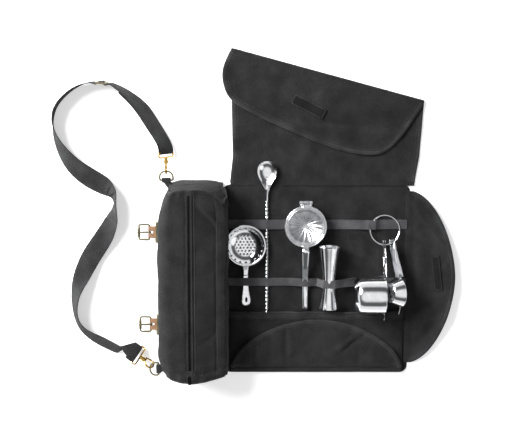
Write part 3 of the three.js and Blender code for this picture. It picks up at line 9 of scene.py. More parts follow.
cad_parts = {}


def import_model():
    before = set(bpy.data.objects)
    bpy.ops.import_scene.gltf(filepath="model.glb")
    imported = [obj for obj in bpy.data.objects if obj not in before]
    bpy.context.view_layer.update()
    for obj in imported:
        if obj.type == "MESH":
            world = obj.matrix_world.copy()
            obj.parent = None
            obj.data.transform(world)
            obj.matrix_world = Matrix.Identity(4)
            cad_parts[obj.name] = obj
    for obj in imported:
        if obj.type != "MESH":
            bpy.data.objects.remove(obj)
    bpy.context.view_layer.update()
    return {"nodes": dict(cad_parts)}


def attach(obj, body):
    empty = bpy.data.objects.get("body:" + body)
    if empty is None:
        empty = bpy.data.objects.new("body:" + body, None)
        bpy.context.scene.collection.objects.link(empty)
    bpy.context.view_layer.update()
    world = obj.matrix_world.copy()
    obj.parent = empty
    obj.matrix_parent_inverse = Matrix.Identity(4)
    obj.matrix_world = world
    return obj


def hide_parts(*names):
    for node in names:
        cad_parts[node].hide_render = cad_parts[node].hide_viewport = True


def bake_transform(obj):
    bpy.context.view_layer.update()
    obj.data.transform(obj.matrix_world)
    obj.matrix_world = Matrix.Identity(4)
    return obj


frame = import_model()

MM = 0.001
X_AXIS = Vector((1, 0, 0))
Y_AXIS = Vector((0, 1, 0))
Z_AXIS = Vector((0, 0, 1))

# Places shared with the part
PANEL_HALF_WIDTH = 175
PANEL_HALF_LENGTH = 180.5
PANEL_THICKNESS = 5
ON_PANEL = 5.3
ZIP_X = -233
BARREL_FRONT = -176
BARREL_BACK = 186
ZIP_FRONT = -150
ZIP_BACK = 174
SHOULDER = 80
BUCKLE_YS = {"upper": 92, "lower": -84}
STRAINER = Vector((-132.6, 66.9, 0))
SPOON_X = -92.2
PRESS_X = -20.6

# Cloth and thread
FLAP_THICKNESS = 3
EDGE_STITCH = 0.75
SEAM_STITCH = 0.7
STITCH_LIFT = 0.2
BARREL_CLOTH = 3.0
D_STEPS = 44
WHITE = (1, 1, 1, 1)


# ---------------------------------------------------------------- materials


def add(tree, kind, **values):
    """A new node. A value goes to the socket of that name, or to the property; a socket as a value is linked."""
    made = tree.nodes.new("ShaderNode" + kind)
    for key, value in values.items():
        name = key.replace("_", " ")
        if name not in made.inputs:
            setattr(made, key, value)
        elif isinstance(value, bpy.types.NodeSocket):
            tree.links.new(value, made.inputs[name])
        else:
            made.inputs[name].default_value = value
    return made


def combine(tree, operation, a, b=0.0):
    """Two numbers or sockets through a Math node."""
    made = add(tree, "Math", operation=operation)
    for socket, value in zip(made.inputs, (a, b)):
        if isinstance(value, (int, float)):
            socket.default_value = value
        else:
            tree.links.new(value, socket)
    return made.outputs[0]


def mottle(tree, place, scale, detail, roughness=0.5):
    """Noise from 0 to 1 at a place."""
    return add(tree, "TexNoise", Vector=place, Scale=scale, Detail=detail, Roughness=roughness).outputs["Fac"]


def ramp(tree, factor, *stops):
    """A colour ramp with stops of (position, colour)."""
    made = add(tree, "ValToRGB", Fac=factor)
    elements = made.color_ramp.elements
    for element, (position, shade) in zip(elements, (stops[0], stops[-1])):
        element.position, element.color = position, shade
    for position, shade in stops[1:-1]:
        elements.new(position).color = shade
    return made.outputs["Color"]


def sine_along(tree, place, direction, pitch):
    """Sine of the place along a direction, with one wave in each pitch (metres)."""
    dot = add(tree, "VectorMath", operation="DOT_PRODUCT", Vector=place)
    dot.inputs[1].default_value = direction
    return combine(tree, "SINE", combine(tree, "MULTIPLY", dot.outputs["Value"], 2 * math.pi / pitch))


def material(name, **settings):
    """A new material with constants set on the shader's own sockets; with its tree, shader and object place."""
    made = bpy.data.materials.new(name)
    made.use_nodes = True
    shader = made.node_tree.nodes["Principled BSDF"]
    for socket, value in settings.items():
        shader.inputs[socket.replace("_", " ")].default_value = value
    return made, made.node_tree, shader, add(made.node_tree, "TexCoord").outputs["Object"]


def finished(made, shader, shade, height, strength, depth):
    """Puts a colour and a bump of some depth (millimetres) on the shader."""
    tree = made.node_tree
    bump = add(tree, "Bump", Strength=strength, Distance=depth * MM, Height=height)
    tree.links.new(shade, shader.inputs["Base Color"])
    tree.links.new(bump.outputs["Normal"], shader.inputs["Normal"])
    return made


def colour(hexadecimal):
    """Linear colour with alpha from a hex colour."""
    shares = [((hexadecimal >> shift) & 255) / 255 for shift in (16, 8, 0)]
    linear = [c / 12.92 if c <= 0.04045 else ((c + 0.055) / 1.055) ** 2.4 for c in shares]
    return (*linear, 1)


def cloth_material(name, dark, light, pitch, depth, sheen=0.25, roughness=0.92, diagonal=True, fleck=0.5):
    """Woven cloth: crossing threads in the bump, and flecks of lint and dye in the colour."""
    made, tree, shader, place = material(
        name, Roughness=roughness, Sheen_Weight=sheen, Sheen_Roughness=0.45, Specular_IOR_Level=0.25
    )
    pitch *= MM
    warp, weft = sine_along(tree, place, (1, 0, 0.8), pitch), sine_along(tree, place, (0, 1, 0.8), pitch)
    weave = combine(tree, "MULTIPLY", warp, weft)
    if diagonal:
        weave = combine(tree, "ADD", weave, sine_along(tree, place, (1, 0.9, 0.5), pitch * 1.7))
    lint, cloud = mottle(tree, place, 620, 4, 0.75), mottle(tree, place, 28, 4, 0.6)
    mixed = combine(tree, "ADD", combine(tree, "MULTIPLY", lint, fleck), combine(tree, "MULTIPLY", cloud, 1 - fleck))
    mixed = combine(tree, "ADD", mixed, combine(tree, "MULTIPLY", weave, 0.1))
    shade = ramp(tree, mixed, (0.4, colour(dark)), (0.64, colour(light)))
    height = combine(tree, "ADD", weave, combine(tree, "MULTIPLY", lint, 2))
    return finished(made, shader, shade, height, 1.0, depth)


def metal_material(name, base, dark, roughness, grime=0.35):
    """Polished metal with fine scratches and a slight change of tone."""
    made, tree, shader, place = material(name, Metallic=1.0, Roughness=roughness)
    stretched = add(tree, "Mapping", Vector=place, Scale=(1.0, 0.08, 1.0)).outputs[0]
    hair, cloud = mottle(tree, stretched, 2600, 2), mottle(tree, place, 60, 5, 0.65)
    reach = add(tree, "MapRange", Value=hair, To_Min=roughness * 0.75, To_Max=roughness * 1.25)
    tree.links.new(reach.outputs[0], shader.inputs["Roughness"])
    shade = ramp(tree, cloud, (0.35 - grime / 4, colour(dark)), (0.62, colour(base)))
    return finished(made, shader, shade, hair, 0.12, 0.05)


def leather_material(name, dark, light):
    """Tan leather: pores and creases in the bump, and a cloudy tone."""
    made, tree, shader, place = material(name, Roughness=0.55, Specular_IOR_Level=0.4)
    pores = add(tree, "TexVoronoi", Vector=place, Scale=900.0).outputs["Distance"]
    cloud = mottle(tree, place, 160, 6, 0.7)
    shade = ramp(tree, cloud, (0.3, colour(dark)), (0.7, colour(light)))
    return finished(made, shader, shade, combine(tree, "ADD", pores, cloud), 0.7, 0.25)


CANVAS = cloth_material("canvas", 0x0F0F10, 0x313132, pitch=1.7, depth=0.45, sheen=0.05)
BINDING = cloth_material("binding", 0x1A1A1B, 0x3E3E3F, pitch=1.3, depth=0.3, sheen=0.08, diagonal=False)
LINING = cloth_material("lining", 0x121213, 0x2D2D2E, pitch=1.5, depth=0.3, sheen=0.05, diagonal=False)
ELASTIC = cloth_material("elastic", 0x3C3C3E, 0x59595B, pitch=1.6, depth=0.3, sheen=0.1, diagonal=False, fleck=0.3)
WEBBING = cloth_material("webbing", 0x161617, 0x3A3A3B, pitch=2.2, depth=0.5, sheen=0.08, diagonal=False, fleck=0.4)
PATCH = cloth_material("patch", 0x060607, 0x171718, pitch=0.7, depth=0.5, sheen=0.03, roughness=1.0)
# Black thread, darker than the canvas: partly its own colour and partly painted shade, so that each stitch row reads as
# a shaded groove.
THREAD_AND_GROOVE_SHADE = cloth_material("thread", 0x0A0A0B, 0x1C1C1D, pitch=0.5, depth=0.05, sheen=0.0, diagonal=False)
TAN_THREAD = cloth_material("tan_thread", 0xB08A58, 0xD8B988, pitch=0.5, depth=0.05, diagonal=False)
LEATHER = leather_material("leather", 0x664833, 0x8F6E53)
STEEL = metal_material("steel", 0xEDEEF0, 0xDDDEE0, roughness=0.13, grime=0.1)
BRUSHED = metal_material("brushed_steel", 0xD6D7D9, 0xB2B4B7, roughness=0.28, grime=0.2)
PRESSED = metal_material("pressed_steel", 0xBDBEC1, 0x8E9093, roughness=0.36, grime=0.3)
GOLD = metal_material("gold", 0xD9B564, 0xA9822F, roughness=0.2)
ANTIQUE = metal_material("antique", 0x8A8263, 0x4A4431, roughness=0.34, grime=0.6)
BLACK_METAL = metal_material("black_metal", 0x1E1E1F, 0x0E0E0F, roughness=0.5)


# ---------------------------------------------------------------- mesh helpers


def placed(name, data):
    """A new object in the scene."""
    obj = bpy.data.objects.new(name, data)
    bpy.context.scene.collection.objects.link(obj)
    return obj


def build(name, points, faces, look, body, slot, replaces=(), sharp=38, ride=True):
    """A named mesh from points in millimetres, with its normals outward, riding on a body."""
    mesh = bpy.data.meshes.new(name)
    mesh.from_pydata([Vector(p) * MM for p in points], [], faces)
    obj = placed(name, mesh)
    work = bmesh.new()
    work.from_mesh(mesh)
    bmesh.ops.remove_doubles(work, verts=work.verts, dist=1e-6)
    bmesh.ops.delete(work, geom=[v for v in work.verts if not v.link_faces], context="VERTS")
    bmesh.ops.recalc_face_normals(work, faces=work.faces)
    work.to_mesh(mesh)
    work.free()
    mesh.shade_smooth()
    mesh.set_sharp_from_angle(angle=math.radians(sharp))
    mesh.materials.append(look)
    if ride:
        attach(obj, body)
    if replaces:
        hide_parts(*replaces)
    return obj


def bevelled(obj, width):
    """Rounds a piece's sharp edges for good."""
    bevel = obj.modifiers.new("bevel", "BEVEL")
    bevel.width = width * MM
    bevel.segments = 2
    bevel.limit_method = "ANGLE"
    bevel.angle_limit = math.radians(35)
    bevel.use_clamp_overlap = True
    apply_all(obj)
    return obj


def apply_all(obj):
    depsgraph = bpy.context.evaluated_depsgraph_get()
    mesh = bpy.data.meshes.new_from_object(obj.evaluated_get(depsgraph))
    obj.modifiers.clear()
    obj.data = mesh


def remade(name, source, look, body, slot):
    """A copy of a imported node, which it stands for, with its mesh open for changes."""
    original = frame["nodes"][source].data
    points = [v.co / MM for v in original.vertices]
    obj = build(name, points, [tuple(p.vertices) for p in original.polygons], look, body, slot, [source])
    work = bmesh.new()
    work.from_mesh(obj.data)
    return obj, work


def copied(name, source, look, body, slot, bevel):
    """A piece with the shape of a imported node, its edges rounded."""
    obj, work = remade(name, source, look, body, slot)
    bmesh.ops.dissolve_limit(work, angle_limit=math.radians(4), verts=work.verts, edges=work.edges)
    work.to_mesh(obj.data)
    work.free()
    return bevelled(obj, bevel)


def refined(name, source, look, body, slot, levels=2):
    """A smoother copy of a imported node: subdivided, with its sharp edges kept."""
    obj, work = remade(name, source, look, body, slot)
    bmesh.ops.join_triangles(
        work, faces=work.faces, angle_face_threshold=math.radians(12), angle_shape_threshold=math.radians(70)
    )
    layer = work.edges.layers.float.get("crease_edge") or work.edges.layers.float.new("crease_edge")
    for edge in work.edges:
        if len(edge.link_faces) == 2 and edge.calc_face_angle(0) > math.radians(40):
            edge[layer] = 0.85
    work.to_mesh(obj.data)
    work.free()
    subdivision = obj.modifiers.new("smooth", "SUBSURF")
    subdivision.levels = levels
    subdivision.render_levels = levels
    apply_all(obj)
    obj.data.shade_smooth()
    obj.data.set_sharp_from_angle(angle=math.radians(35))
    return obj


def skin(rings, closed_path=False):
    """Faces between rings that all have the same number of points, with caps where the path is open."""
    count = len(rings[0])
    points = [p for ring in rings for p in ring]
    faces = []
    for r in range(len(rings) if closed_path else len(rings) - 1):
        a, b = r * count, ((r + 1) % len(rings)) * count
        for i in range(count):
            j = (i + 1) % count
            faces.append((a + i, a + j, b + j, b + i))
    if not closed_path:
        faces.append(tuple(range(count)))
        faces.append(tuple(range((len(rings) - 1) * count, len(rings) * count)))
    return points, faces


def merged(parts):
    """Several (points, faces) pairs as one."""
    points, faces = [], []
    for more_points, more_faces in parts:
        start = len(points)
        points.extend(more_points)
        faces.extend(tuple(i + start for i in face) for face in more_faces)
    return points, faces


def clamp(value):
    return min(1.0, max(0.0, value))


def turns(count):
    """Evenly spaced angles once round."""
    return [2 * math.pi * i / count for i in range(count)]


def circle(centre, u, v, radius, sides):
    return [centre + u * radius * math.cos(a) + v * radius * math.sin(a) for a in turns(sides)]


def arc(x, y, radius, start, end, steps):
    angles = [math.radians(start + (end - start) * i / steps) for i in range(steps + 1)]
    return [(x + radius * math.cos(a), y + radius * math.sin(a)) for a in angles]


def rounded_rectangle(x0, x1, y0, y1, radius):
    corners = ((x1 - radius, y0 + radius, -90), (x1 - radius, y1 - radius, 0),
               (x0 + radius, y1 - radius, 90), (x0 + radius, y0 + radius, 180))
    return [p for x, y, start in corners for p in arc(x, y, radius, start, start + 90, 6)]


def d_outline(half_chord, depth, roundness):
    """Half of a superellipse, from one end of its chord to the other."""
    points = []
    for i in range(D_STEPS + 1):
        c, s = math.cos(math.pi * i / D_STEPS), math.sin(math.pi * i / D_STEPS)
        along = math.copysign(abs(c) ** (2 / roundness), c) * half_chord
        points.append((along, max(s, 0) ** (2 / roundness) * depth))
    return points


def smooth_path(points, closed=False, rounds=2):
    """Chaikin corner cutting, for points of any dimension. Open ends stay."""
    for _ in range(rounds):
        cut = []
        pairs = list(zip(points, points[1:] + points[:1])) if closed else list(zip(points, points[1:]))
        for a, b in pairs:
            cut.append(tuple(p * 0.75 + q * 0.25 for p, q in zip(a, b)))
            cut.append(tuple(p * 0.25 + q * 0.75 for p, q in zip(a, b)))
        points = cut if closed else [points[0], *cut, points[-1]]
    return points


def resampled(points, spacing, closed=False):
    """The same 2D or 3D path with points at an even spacing."""
    path = [Vector(p) for p in points]
    if closed:
        path.append(path[0])
    lengths = [0]
    for a, b in zip(path, path[1:]):
        lengths.append(lengths[-1] + (b - a).length)
    count = max(2, round(lengths[-1] / spacing))
    out, k = [], 0
    for i in range(count + (0 if closed else 1)):
        want = lengths[-1] * i / count
        while k < len(path) - 2 and lengths[k + 1] < want:
            k += 1
        span = lengths[k + 1] - lengths[k]
        share = (want - lengths[k]) / span if span else 0
        out.append(path[k].lerp(path[k + 1], clamp(share)))
    return out


def lathe(profile, segments, origin, axis, side):
    """A closed profile of (radius, height) turned about an axis."""
    other = axis.cross(side)
    rings = []
    for angle in turns(segments):
        out = side * math.cos(angle) + other * math.sin(angle)
        rings.append([origin + out * r + axis * h for r, h in profile])
    return skin(rings, closed_path=True)


def stitches(path, length=3.0, space=0.8, radius=0.45):
    """A row of stitches along a 3D path: short spindles that stand half out of the cloth."""
    places = resampled(path, length + space)
    parts = []
    for a, b in zip(places, places[1:]):
        heading = (b - a).normalized()
        side = heading.cross(Z_AXIS)
        side = side.normalized() if side.length > 0.1 else X_AXIS
        up = side.cross(heading)
        rings = []
        for along, share in ((0, 0.35), (0.2, 1), (0.8, 1), (1, 0.35)):
            centre = a + heading * (length * along)
            reach = radius * share
            rings.append([centre + side * reach, centre + up * reach, centre - side * reach, centre - up * reach])
        parts.append(skin(rings))
    return merged(parts)


def inward_normals(outline):
    """Inward unit normals of a closed counter-clockwise 2D outline."""
    count = len(outline)
    normals = []
    for i in range(count):
        a, b = outline[i - 1], outline[(i + 1) % count]
        heading = Vector((b[0] - a[0], b[1] - a[1])).normalized()
        normals.append(Vector((-heading.y, heading.x)))
    return normals


def signed_area(outline):
    """Area inside an outline, negative where it runs clockwise."""
    return sum(a[0] * b[1] - b[0] * a[1] for a, b in zip(outline, outline[1:] + outline[:1])) / 2


def counter_clockwise(outline):
    return outline if signed_area(outline) > 0 else outline[::-1]


def cloth(outline, lay, thickness, spacing=5, extra=()):
    """A padded sheet in a flat outline. lay(x, y, height) gives a place above the sheet's underside.

    Extra places get points of their own, so that a tight fold stays round.
    """
    outline = counter_clockwise([tuple(p[:2]) for p in resampled(outline, spacing * 0.6, closed=True)])
    normals = inward_normals(outline)
    half = thickness / 2
    rings = []
    for angle in (90, 50, 0, -50, -90):
        a = math.radians(angle)
        depth, height = half * (1 - math.cos(a)), half + half * math.sin(a)
        rings.append([(x + n.x * depth, y + n.y * depth, height) for (x, y), n in zip(outline, normals)])
    inner = [Vector(p[:2]) for p in rings[0]]
    xs, ys = [p.x for p in inner], [p.y for p in inner]
    count = len(inner)
    spots = list(inner)
    line, y = 0, min(ys) + spacing / 2
    while y < max(ys):
        x = min(xs) + spacing * (0.5 if line % 2 else 1)
        while x < max(xs):
            spots.append(Vector((x, y)))
            x += spacing
        y += spacing * 0.866
        line += 1
    near = spacing * 0.45
    folds = [Vector(p) for p in extra]
    if folds:
        lows = [min(p[k] for p in folds) - near for k in (0, 1)]
        highs = [max(p[k] for p in folds) + near for k in (0, 1)]
        spots = inner + [s for s in spots[count:] if not all(lows[k] < s[k] < highs[k] for k in (0, 1))]
    kept = spots[:count] + [s for s in spots[count:] if min((s - p).length for p in inner) > near]
    kept += [s for s in folds if min((s - p).length for p in inner) > 0.6]
    edges = [(i, (i + 1) % count) for i in range(count)]
    flat, _, triangles, *_ = geometry.delaunay_2d_cdt(kept, edges, [], 1, 1e-5)
    edge_of = {}
    for i, spot in enumerate(flat):
        for k, p in enumerate(inner):
            if (spot - p).length < 1e-4:
                edge_of[i] = k
                break
    # The rounded edge, without the caps that close a path's ends.
    points, faces = skin(rings)
    points, faces = [lay(*p) for p in points], faces[:-2]
    for height, base in ((thickness, 0), (0, (len(rings) - 1) * count)):
        index = {}
        for i, spot in enumerate(flat):
            if i in edge_of:
                index[i] = base + edge_of[i]
            else:
                index[i] = len(points)
                points.append(lay(spot.x, spot.y, height))
        faces.extend(tuple(index[i] for i in triangle) for triangle in triangles)
    return points, faces


def edge_row(outline, lay, height, inset):
    """The 3D path at a distance inside a closed outline."""
    outline = counter_clockwise([tuple(p[:2]) for p in resampled(outline, 3, closed=True)])
    return [lay(x + n.x * inset, y + n.y * inset, height) for (x, y), n in zip(outline, inward_normals(outline))]


def spread(a, b, step):
    count = max(1, round(abs(b - a) / step))
    return [a + (b - a) * i / count for i in range(count + 1)]


def ripple(x, y, scale, seed=0.0):
    """Smooth noise from -1 to 1."""
    return noise.noise(Vector((x / scale, y / scale, seed)))


def hill(x, centre, width):
    return math.exp(-(((x - centre) / width) ** 2))


def beside(path, side):
    """The points of a 2D path, each with the direction from it into the cloth, which is on its left for side 1."""
    path = [p.to_2d() for p in resampled([(*p, 0) for p in path], 3)]
    for i, p in enumerate(path):
        heading = (path[min(i + 1, len(path) - 1)] - path[max(i - 1, 0)]).normalized()
        yield p, Vector((-heading.y, heading.x)) * side


def band(path, lay, thickness, width, proud=0.5, side=1):
    """Binding tape folded over the edge that runs along a 2D path."""
    top = thickness
    section = [(width, top - 0.4), (width, top + proud * 0.7), (width - 0.9, top + proud), (width - 1.6, top + 0.1),
               (width - 2.8, top + 0.1), (width - 3.6, top + proud), (width * 0.45, top + proud * 1.25),
               (1.6, top + proud), (0.2, top * 0.85 + proud * 0.4), (-proud, top / 2), (0.2, top * 0.15 - 0.2),
               (1.6, -0.3), (width, -0.3), (width, 0.3)]
    return skin([[lay(p.x + n.x * d, p.y + n.y * d, h) for d, h in section] for p, n in beside(path, side)])


def inset_row(path, lay, height, inset, side=1):
    """The 3D path that runs at a distance inside a 2D edge."""
    return [lay(p.x + n.x * inset, p.y + n.y * inset, height) for p, n in beside(path, side)]


def as_sheet(outline):
    """The flat size of an outline, worked out and not used."""
    xs, ys = [p[0] for p in outline], [p[1] for p in outline]
    flat = ((max(xs) - min(xs)) * MM, (max(ys) - min(ys)) * MM)


def flap(name, outline, lay, edges, width, inset, replaces, body=None, bend=None, proud=0.5, side=1,
         seam=(), extra=(), plural=""):
    """A canvas flap: its sheet, the binding over its edges, and stitches along them and along a seam.

    It rides on a body; where bend (body, body, start, end, in millimetres) is given, it rides on none, and the bend's
    bodies and places are not used.
    """
    ride = bend is None
    sheet = build(f"{name}_sheet", *cloth(outline, lay, FLAP_THICKNESS, extra=extra), CANVAS, body, "canvas",
                  replaces, ride=ride)
    tapes = merged([band(edge, lay, FLAP_THICKNESS, width, proud, side) for edge in edges])
    binding = build(f"{name}_binding{plural}", *tapes, BINDING, body, "canvas", ride=ride)
    over = FLAP_THICKNESS + STITCH_LIFT
    rows = [stitches(inset_row(edge, lay, over, inset, side), radius=EDGE_STITCH) for edge in edges]
    if seam:
        rows.append(stitches(seam, radius=SEAM_STITCH))
    sewing = build(f"{name}_stitches", *merged(rows), THREAD_AND_GROOVE_SHADE, body, "canvas", ride=ride)
    as_sheet(outline)
    if bend:
        first, second, start, end = bend
        for piece in (sheet, binding, sewing):
            tuple(v * MM for v in start)
            tuple(v * MM for v in end)
            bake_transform(piece)
    return sheet


# ---------------------------------------------------------------- tool panel


def panel_lay(x, y, height):
    """Quilted lining: its top sinks in dips, in a few folds and along its edges."""
    dip = 0.5 - 0.7 * ripple(x, y, 42, 2.0) - 0.5 * ripple(x + 0.4 * y, y, 18, 11.0)
    valley = 1.2 * hill(x - 0.5 * y, -72, 6) * hill(y, 100, 50) + 1.2 * hill(x + 0.45 * y, 88, 6) * hill(y, 20, 50)
    edge = min(PANEL_HALF_WIDTH - abs(x), PANEL_HALF_LENGTH - abs(y))
    valley += 2.0 * hill(x + 0.35 * y, 8, 7) * hill(y, 120, 45) + 1.8 * hill(x - 0.3 * y, 92, 8) * hill(y, 40, 60)
    # No deeper than the channels under the panel, in which the closing straps lie.
    sunk = (2.2 * dip + 1.4 * valley + 0.9 * math.exp(-edge / 7)) * height / PANEL_THICKNESS
    sunk = max(0.0, min(sunk, 2.1))
    return Vector((x, y, height - sunk))


panel_outline = rounded_rectangle(
    -PANEL_HALF_WIDTH, PANEL_HALF_WIDTH, -PANEL_HALF_LENGTH, PANEL_HALF_LENGTH, 14
)
panel = build("panel", *cloth(panel_outline, panel_lay, PANEL_THICKNESS), LINING, "tool_roll", "lining", ["tool_panel"])
# A strip under the hinge, so that no table shows between the panel and the barrel.
selvedge = [(-185, -172), (-171, -172), (-171, 176), (-185, 176)]
build("panel_selvedge", *cloth(selvedge, lambda x, y, height: Vector((x, y, 0.1 + height)), 0.5), BINDING, "tool_roll",
      "canvas")

# ---------------------------------------------------------------- long top flap

TOP_LEFT, TOP_RIGHT = (-158.6, 428.0), (196.9, 332.0)
TOP_SEAM = 182.4
TOP_HINGE = 233
FOLD_START = Vector(TOP_LEFT)
FOLD_HEADING = (Vector(TOP_RIGHT) - FOLD_START).normalized()
FOLD_DOWN = Vector((FOLD_HEADING.y, -FOLD_HEADING.x))
FOLD_LENGTH = (Vector(TOP_RIGHT) - FOLD_START).length


def top_lift(x, y):
    """How far the laid flap stands off the table: soft waves, ridges across it and puckers at its seam."""
    along = (y - 181) / 240
    wave = 1.6 + 1.8 * ripple(x, y, 70, 4.0) + 0.9 * ripple(x, y, 26, 9.0)
    ridge = 3.4 * hill(y - 0.25 * x, 300, 16) + 2.6 * hill(y + 0.5 * x, 268, 12)
    ridge += 2.4 * hill(x - 0.35 * (y - 180), -40, 16)
    pucker = 1.5 * math.sin(x / 5 + 5 * ripple(x, 0, 40)) * math.exp(-max(y - 181, 0) / 14)
    pucker *= 0.4 + 0.6 * hill(x, 60, 90)
    foot = 2.2 * math.exp(-max(y - 179, 0) / 7)
    lift = 1.5 * max(0.0, wave + ridge + pucker) * min(1, max(along * 5, 0.08)) + foot
    # Flat where the spoon slides out, and low near the fold, so that the unfolded end stays above the table.
    lift -= 0.85 * lift * min(1.0, 1.6 * hill(x, SPOON_X, 24)) * clamp((318 - y) / 30)
    from_fold = (Vector((x, y)) - FOLD_START).dot(FOLD_DOWN)
    return min(lift, 2.2 + 0.15 * max(0.0, from_fold))


def top_lay(x, y, height):
    seam = 1.3 * hill(y, TOP_SEAM, 1.5) * (height / FLAP_THICKNESS)
    return Vector((x, y, top_lift(x, y) + height - seam))


top_outline = [(-161, 177.8), (182, 177.8), (190, TOP_HINGE), TOP_RIGHT, TOP_LEFT, (-155.4, TOP_HINGE)]
top_edges = [[(-158.6, 427), (-155.4, TOP_HINGE), (-161, 184)], [(182, 184), (190, TOP_HINGE), (196.5, 331)]]
top_sheet = flap(
    "top_flap", top_outline, top_lay, top_edges, width=10, inset=7.8,
    replaces=["top_flap_base", "top_flap"],
    bend=("tool_roll", "long_flap", (0, TOP_HINGE - 7, 0), (0, TOP_HINGE + 8, 0)),
    seam=[top_lay(x, TOP_SEAM, FLAP_THICKNESS) for x in range(-156, 180, 4)], plural="s",
)

END_DEPTH = 124
END_SHARES = [
    (0, 0), (-0.016, 0.26), (-0.005, 0.44), (0.033, 0.63), (0.084, 0.74), (0.18, 0.81), (0.298, 0.875),
    (0.423, 0.93), (0.572, 0.985), (0.686, 1), (0.794, 0.97), (0.864, 0.9), (0.911, 0.75), (0.954, 0.43), (1, 0),
]
CURL = 0.4
END_LIFT = 3.3


def end_lay(u, v, height):
    """The folded end: u along the fold, v down from it; behind the fold it turns under in a half roll."""
    slack = 2.0 + 2.6 * ripple(u, v, 45, 14.0) + 0.9 * ripple(u, v, 16, 3.0) - 1.4 * hill(u - 1.6 * v, 60, 18)
    slanted = v + 0.18 * (u - 124)
    slack -= 3.4 * hill(slanted, 96, 6) * hill(u, 215, 80) - 2.2 * hill(slanted, 108, 7)
    slack += 1.8 * hill(v - 0.5 * u, 20, 9) * hill(u, 60, 40)
    slack = max(-2.9, slack) * (min(1, v / 14) if v > 0 else 0)
    rim = 1.5 * hill(v, 118, 10) * hill(u, 235, 90)
    if v >= 0:
        under = FOLD_START + FOLD_HEADING * u + FOLD_DOWN * v
        room = 2.3 + 0.16 * v - top_lift(under.x, under.y)
        out, rise = v, END_LIFT + height + min(slack + rim + 1.4 * hill(v, 5, 6), room)
    else:
        turn = min(-v / (CURL + FLAP_THICKNESS / 2), math.pi)
        reach = CURL + height
        out = -math.sin(turn) * reach * 1.3
        rise = END_LIFT - CURL + 1.2 * (1 - turn / math.pi) + math.cos(turn) * reach
    place = FOLD_START + FOLD_HEADING * u + FOLD_DOWN * out
    return Vector((place.x, place.y, rise + top_lift(place.x, place.y)))


end_curve = smooth_path([(u * FOLD_LENGTH, v * END_DEPTH) for u, v in END_SHARES], rounds=2)
roll_reach = math.pi * (CURL + FLAP_THICKNESS / 2)
end_outline = [*end_curve, (FOLD_LENGTH, -roll_reach), (0, -roll_reach)]
end_fold = [(u, v) for u in spread(2, FOLD_LENGTH - 2, 3) for v in (-4.9, -3.9, -2.9, -1.9, -0.9, 0.1, 1.4, 3.2)]
fold_middle = FOLD_START + FOLD_HEADING * 185
flap(
    "top_flap_end", end_outline, end_lay, [end_curve[1:-1]], width=10.5, inset=8.3,
    replaces=["top_flap_end"],
    bend=("long_flap", "flap_end", (*(fold_middle - FOLD_DOWN * 1), 3), (*(fold_middle + FOLD_DOWN * 7), 3)),
    proud=0.7, side=-1, extra=end_fold,
)


def patch_piece(name, source, half_length, half_width, lay_at, body):
    """Hook or loop tape: a pile of short rows inside a woven edge, sewn round."""
    outline = rounded_rectangle(-half_length, half_length, -half_width, half_width, 1.6)

    def pile(x, y, height):
        inside = min(half_length - abs(x), half_width - abs(y)) > 2.2
        tuft = 0.5 * abs(math.sin(x * 2.1)) * abs(math.sin(y * 2.4)) if inside and height > 1 else 0
        return lay_at(x, y, height + tuft)

    build(name, *cloth(outline, pile, 1.4, spacing=1.1), PATCH, body, "patch", [source], sharp=60)
    edge = edge_row(outline, lay_at, 1.5, 1.6)
    build(name + "_stitches", *stitches(edge, length=2.4), ELASTIC, body, "patch")


def turned_lay(centre, degrees, below):
    """A flat place turned on a cloth: below(x, y) gives the cloth's top there."""
    c, s = math.cos(math.radians(degrees)), math.sin(math.radians(degrees))

    def lay_at(x, y, height):
        px, py = centre[0] + x * c - y * s, centre[1] + x * s + y * c
        spot = below(px, py)
        return Vector((spot.x, spot.y, spot.z + height))

    return lay_at


def on_end(px, py):
    offset = Vector((px, py)) - FOLD_START
    return end_lay(offset.dot(FOLD_HEADING), offset.dot(FOLD_DOWN), FLAP_THICKNESS + 1.2)


patch_piece("hook_tape", "hook_patch", 32.5, 10, turned_lay((-16, 325), -27, on_end), "flap_end")

# ---------------------------------------------------------------- right flap

LEAN = math.atan2(16, 86)
RIGHT_FOLD_X, RIGHT_MIDDLE_Y = 175.3, 3.7


def right_lay(x, y, height):
    """The sloping side flap: x out from the fold, y along it; behind the fold it thins out over the panel."""
    out = max(x, 0)
    slack = 2.6 * ripple(x, y, 46, 21.0) + 1.2 * ripple(x, y, 17, 5.0)
    slack += 3.2 * hill(out, 22, 9) * hill(y, 30, 75) - 2.6 * hill(out, 42, 9) * hill(y, 30, 75)
    to_corner, in_corner = 0.852 * x - 0.524 * y, hill(y, -92, 42)
    slack += 3.0 * hill(y + 1.3 * x, 150, 12) - 5.5 * hill(to_corner, 84, 9) * in_corner
    slack *= min(1, out / 16)
    curl = 3.5 * max(0, (out - 30) / 56) ** 2 * (0.5 + 0.5 * math.tanh((-y - 10) / 60))
    curl += 2.0 * hill(to_corner, 100, 7) * in_corner
    step = 2.6 * math.exp(-out / 9) * (1 - height / 12) - 1.2 * hill(x, 6, 4)
    up = height - FLAP_THICKNESS / 2 + slack + curl + step
    lean = LEAN if x > 0 else 0.0
    shrink = 1 - 0.75 * max(0.0, -x / 9)
    up = up if x > 0 else up * shrink + (1 - shrink)
    across = RIGHT_FOLD_X + x * math.cos(lean) - up * math.sin(lean)
    return Vector((across, RIGHT_MIDDLE_Y + y, 1.9 + out * math.sin(LEAN) + up))


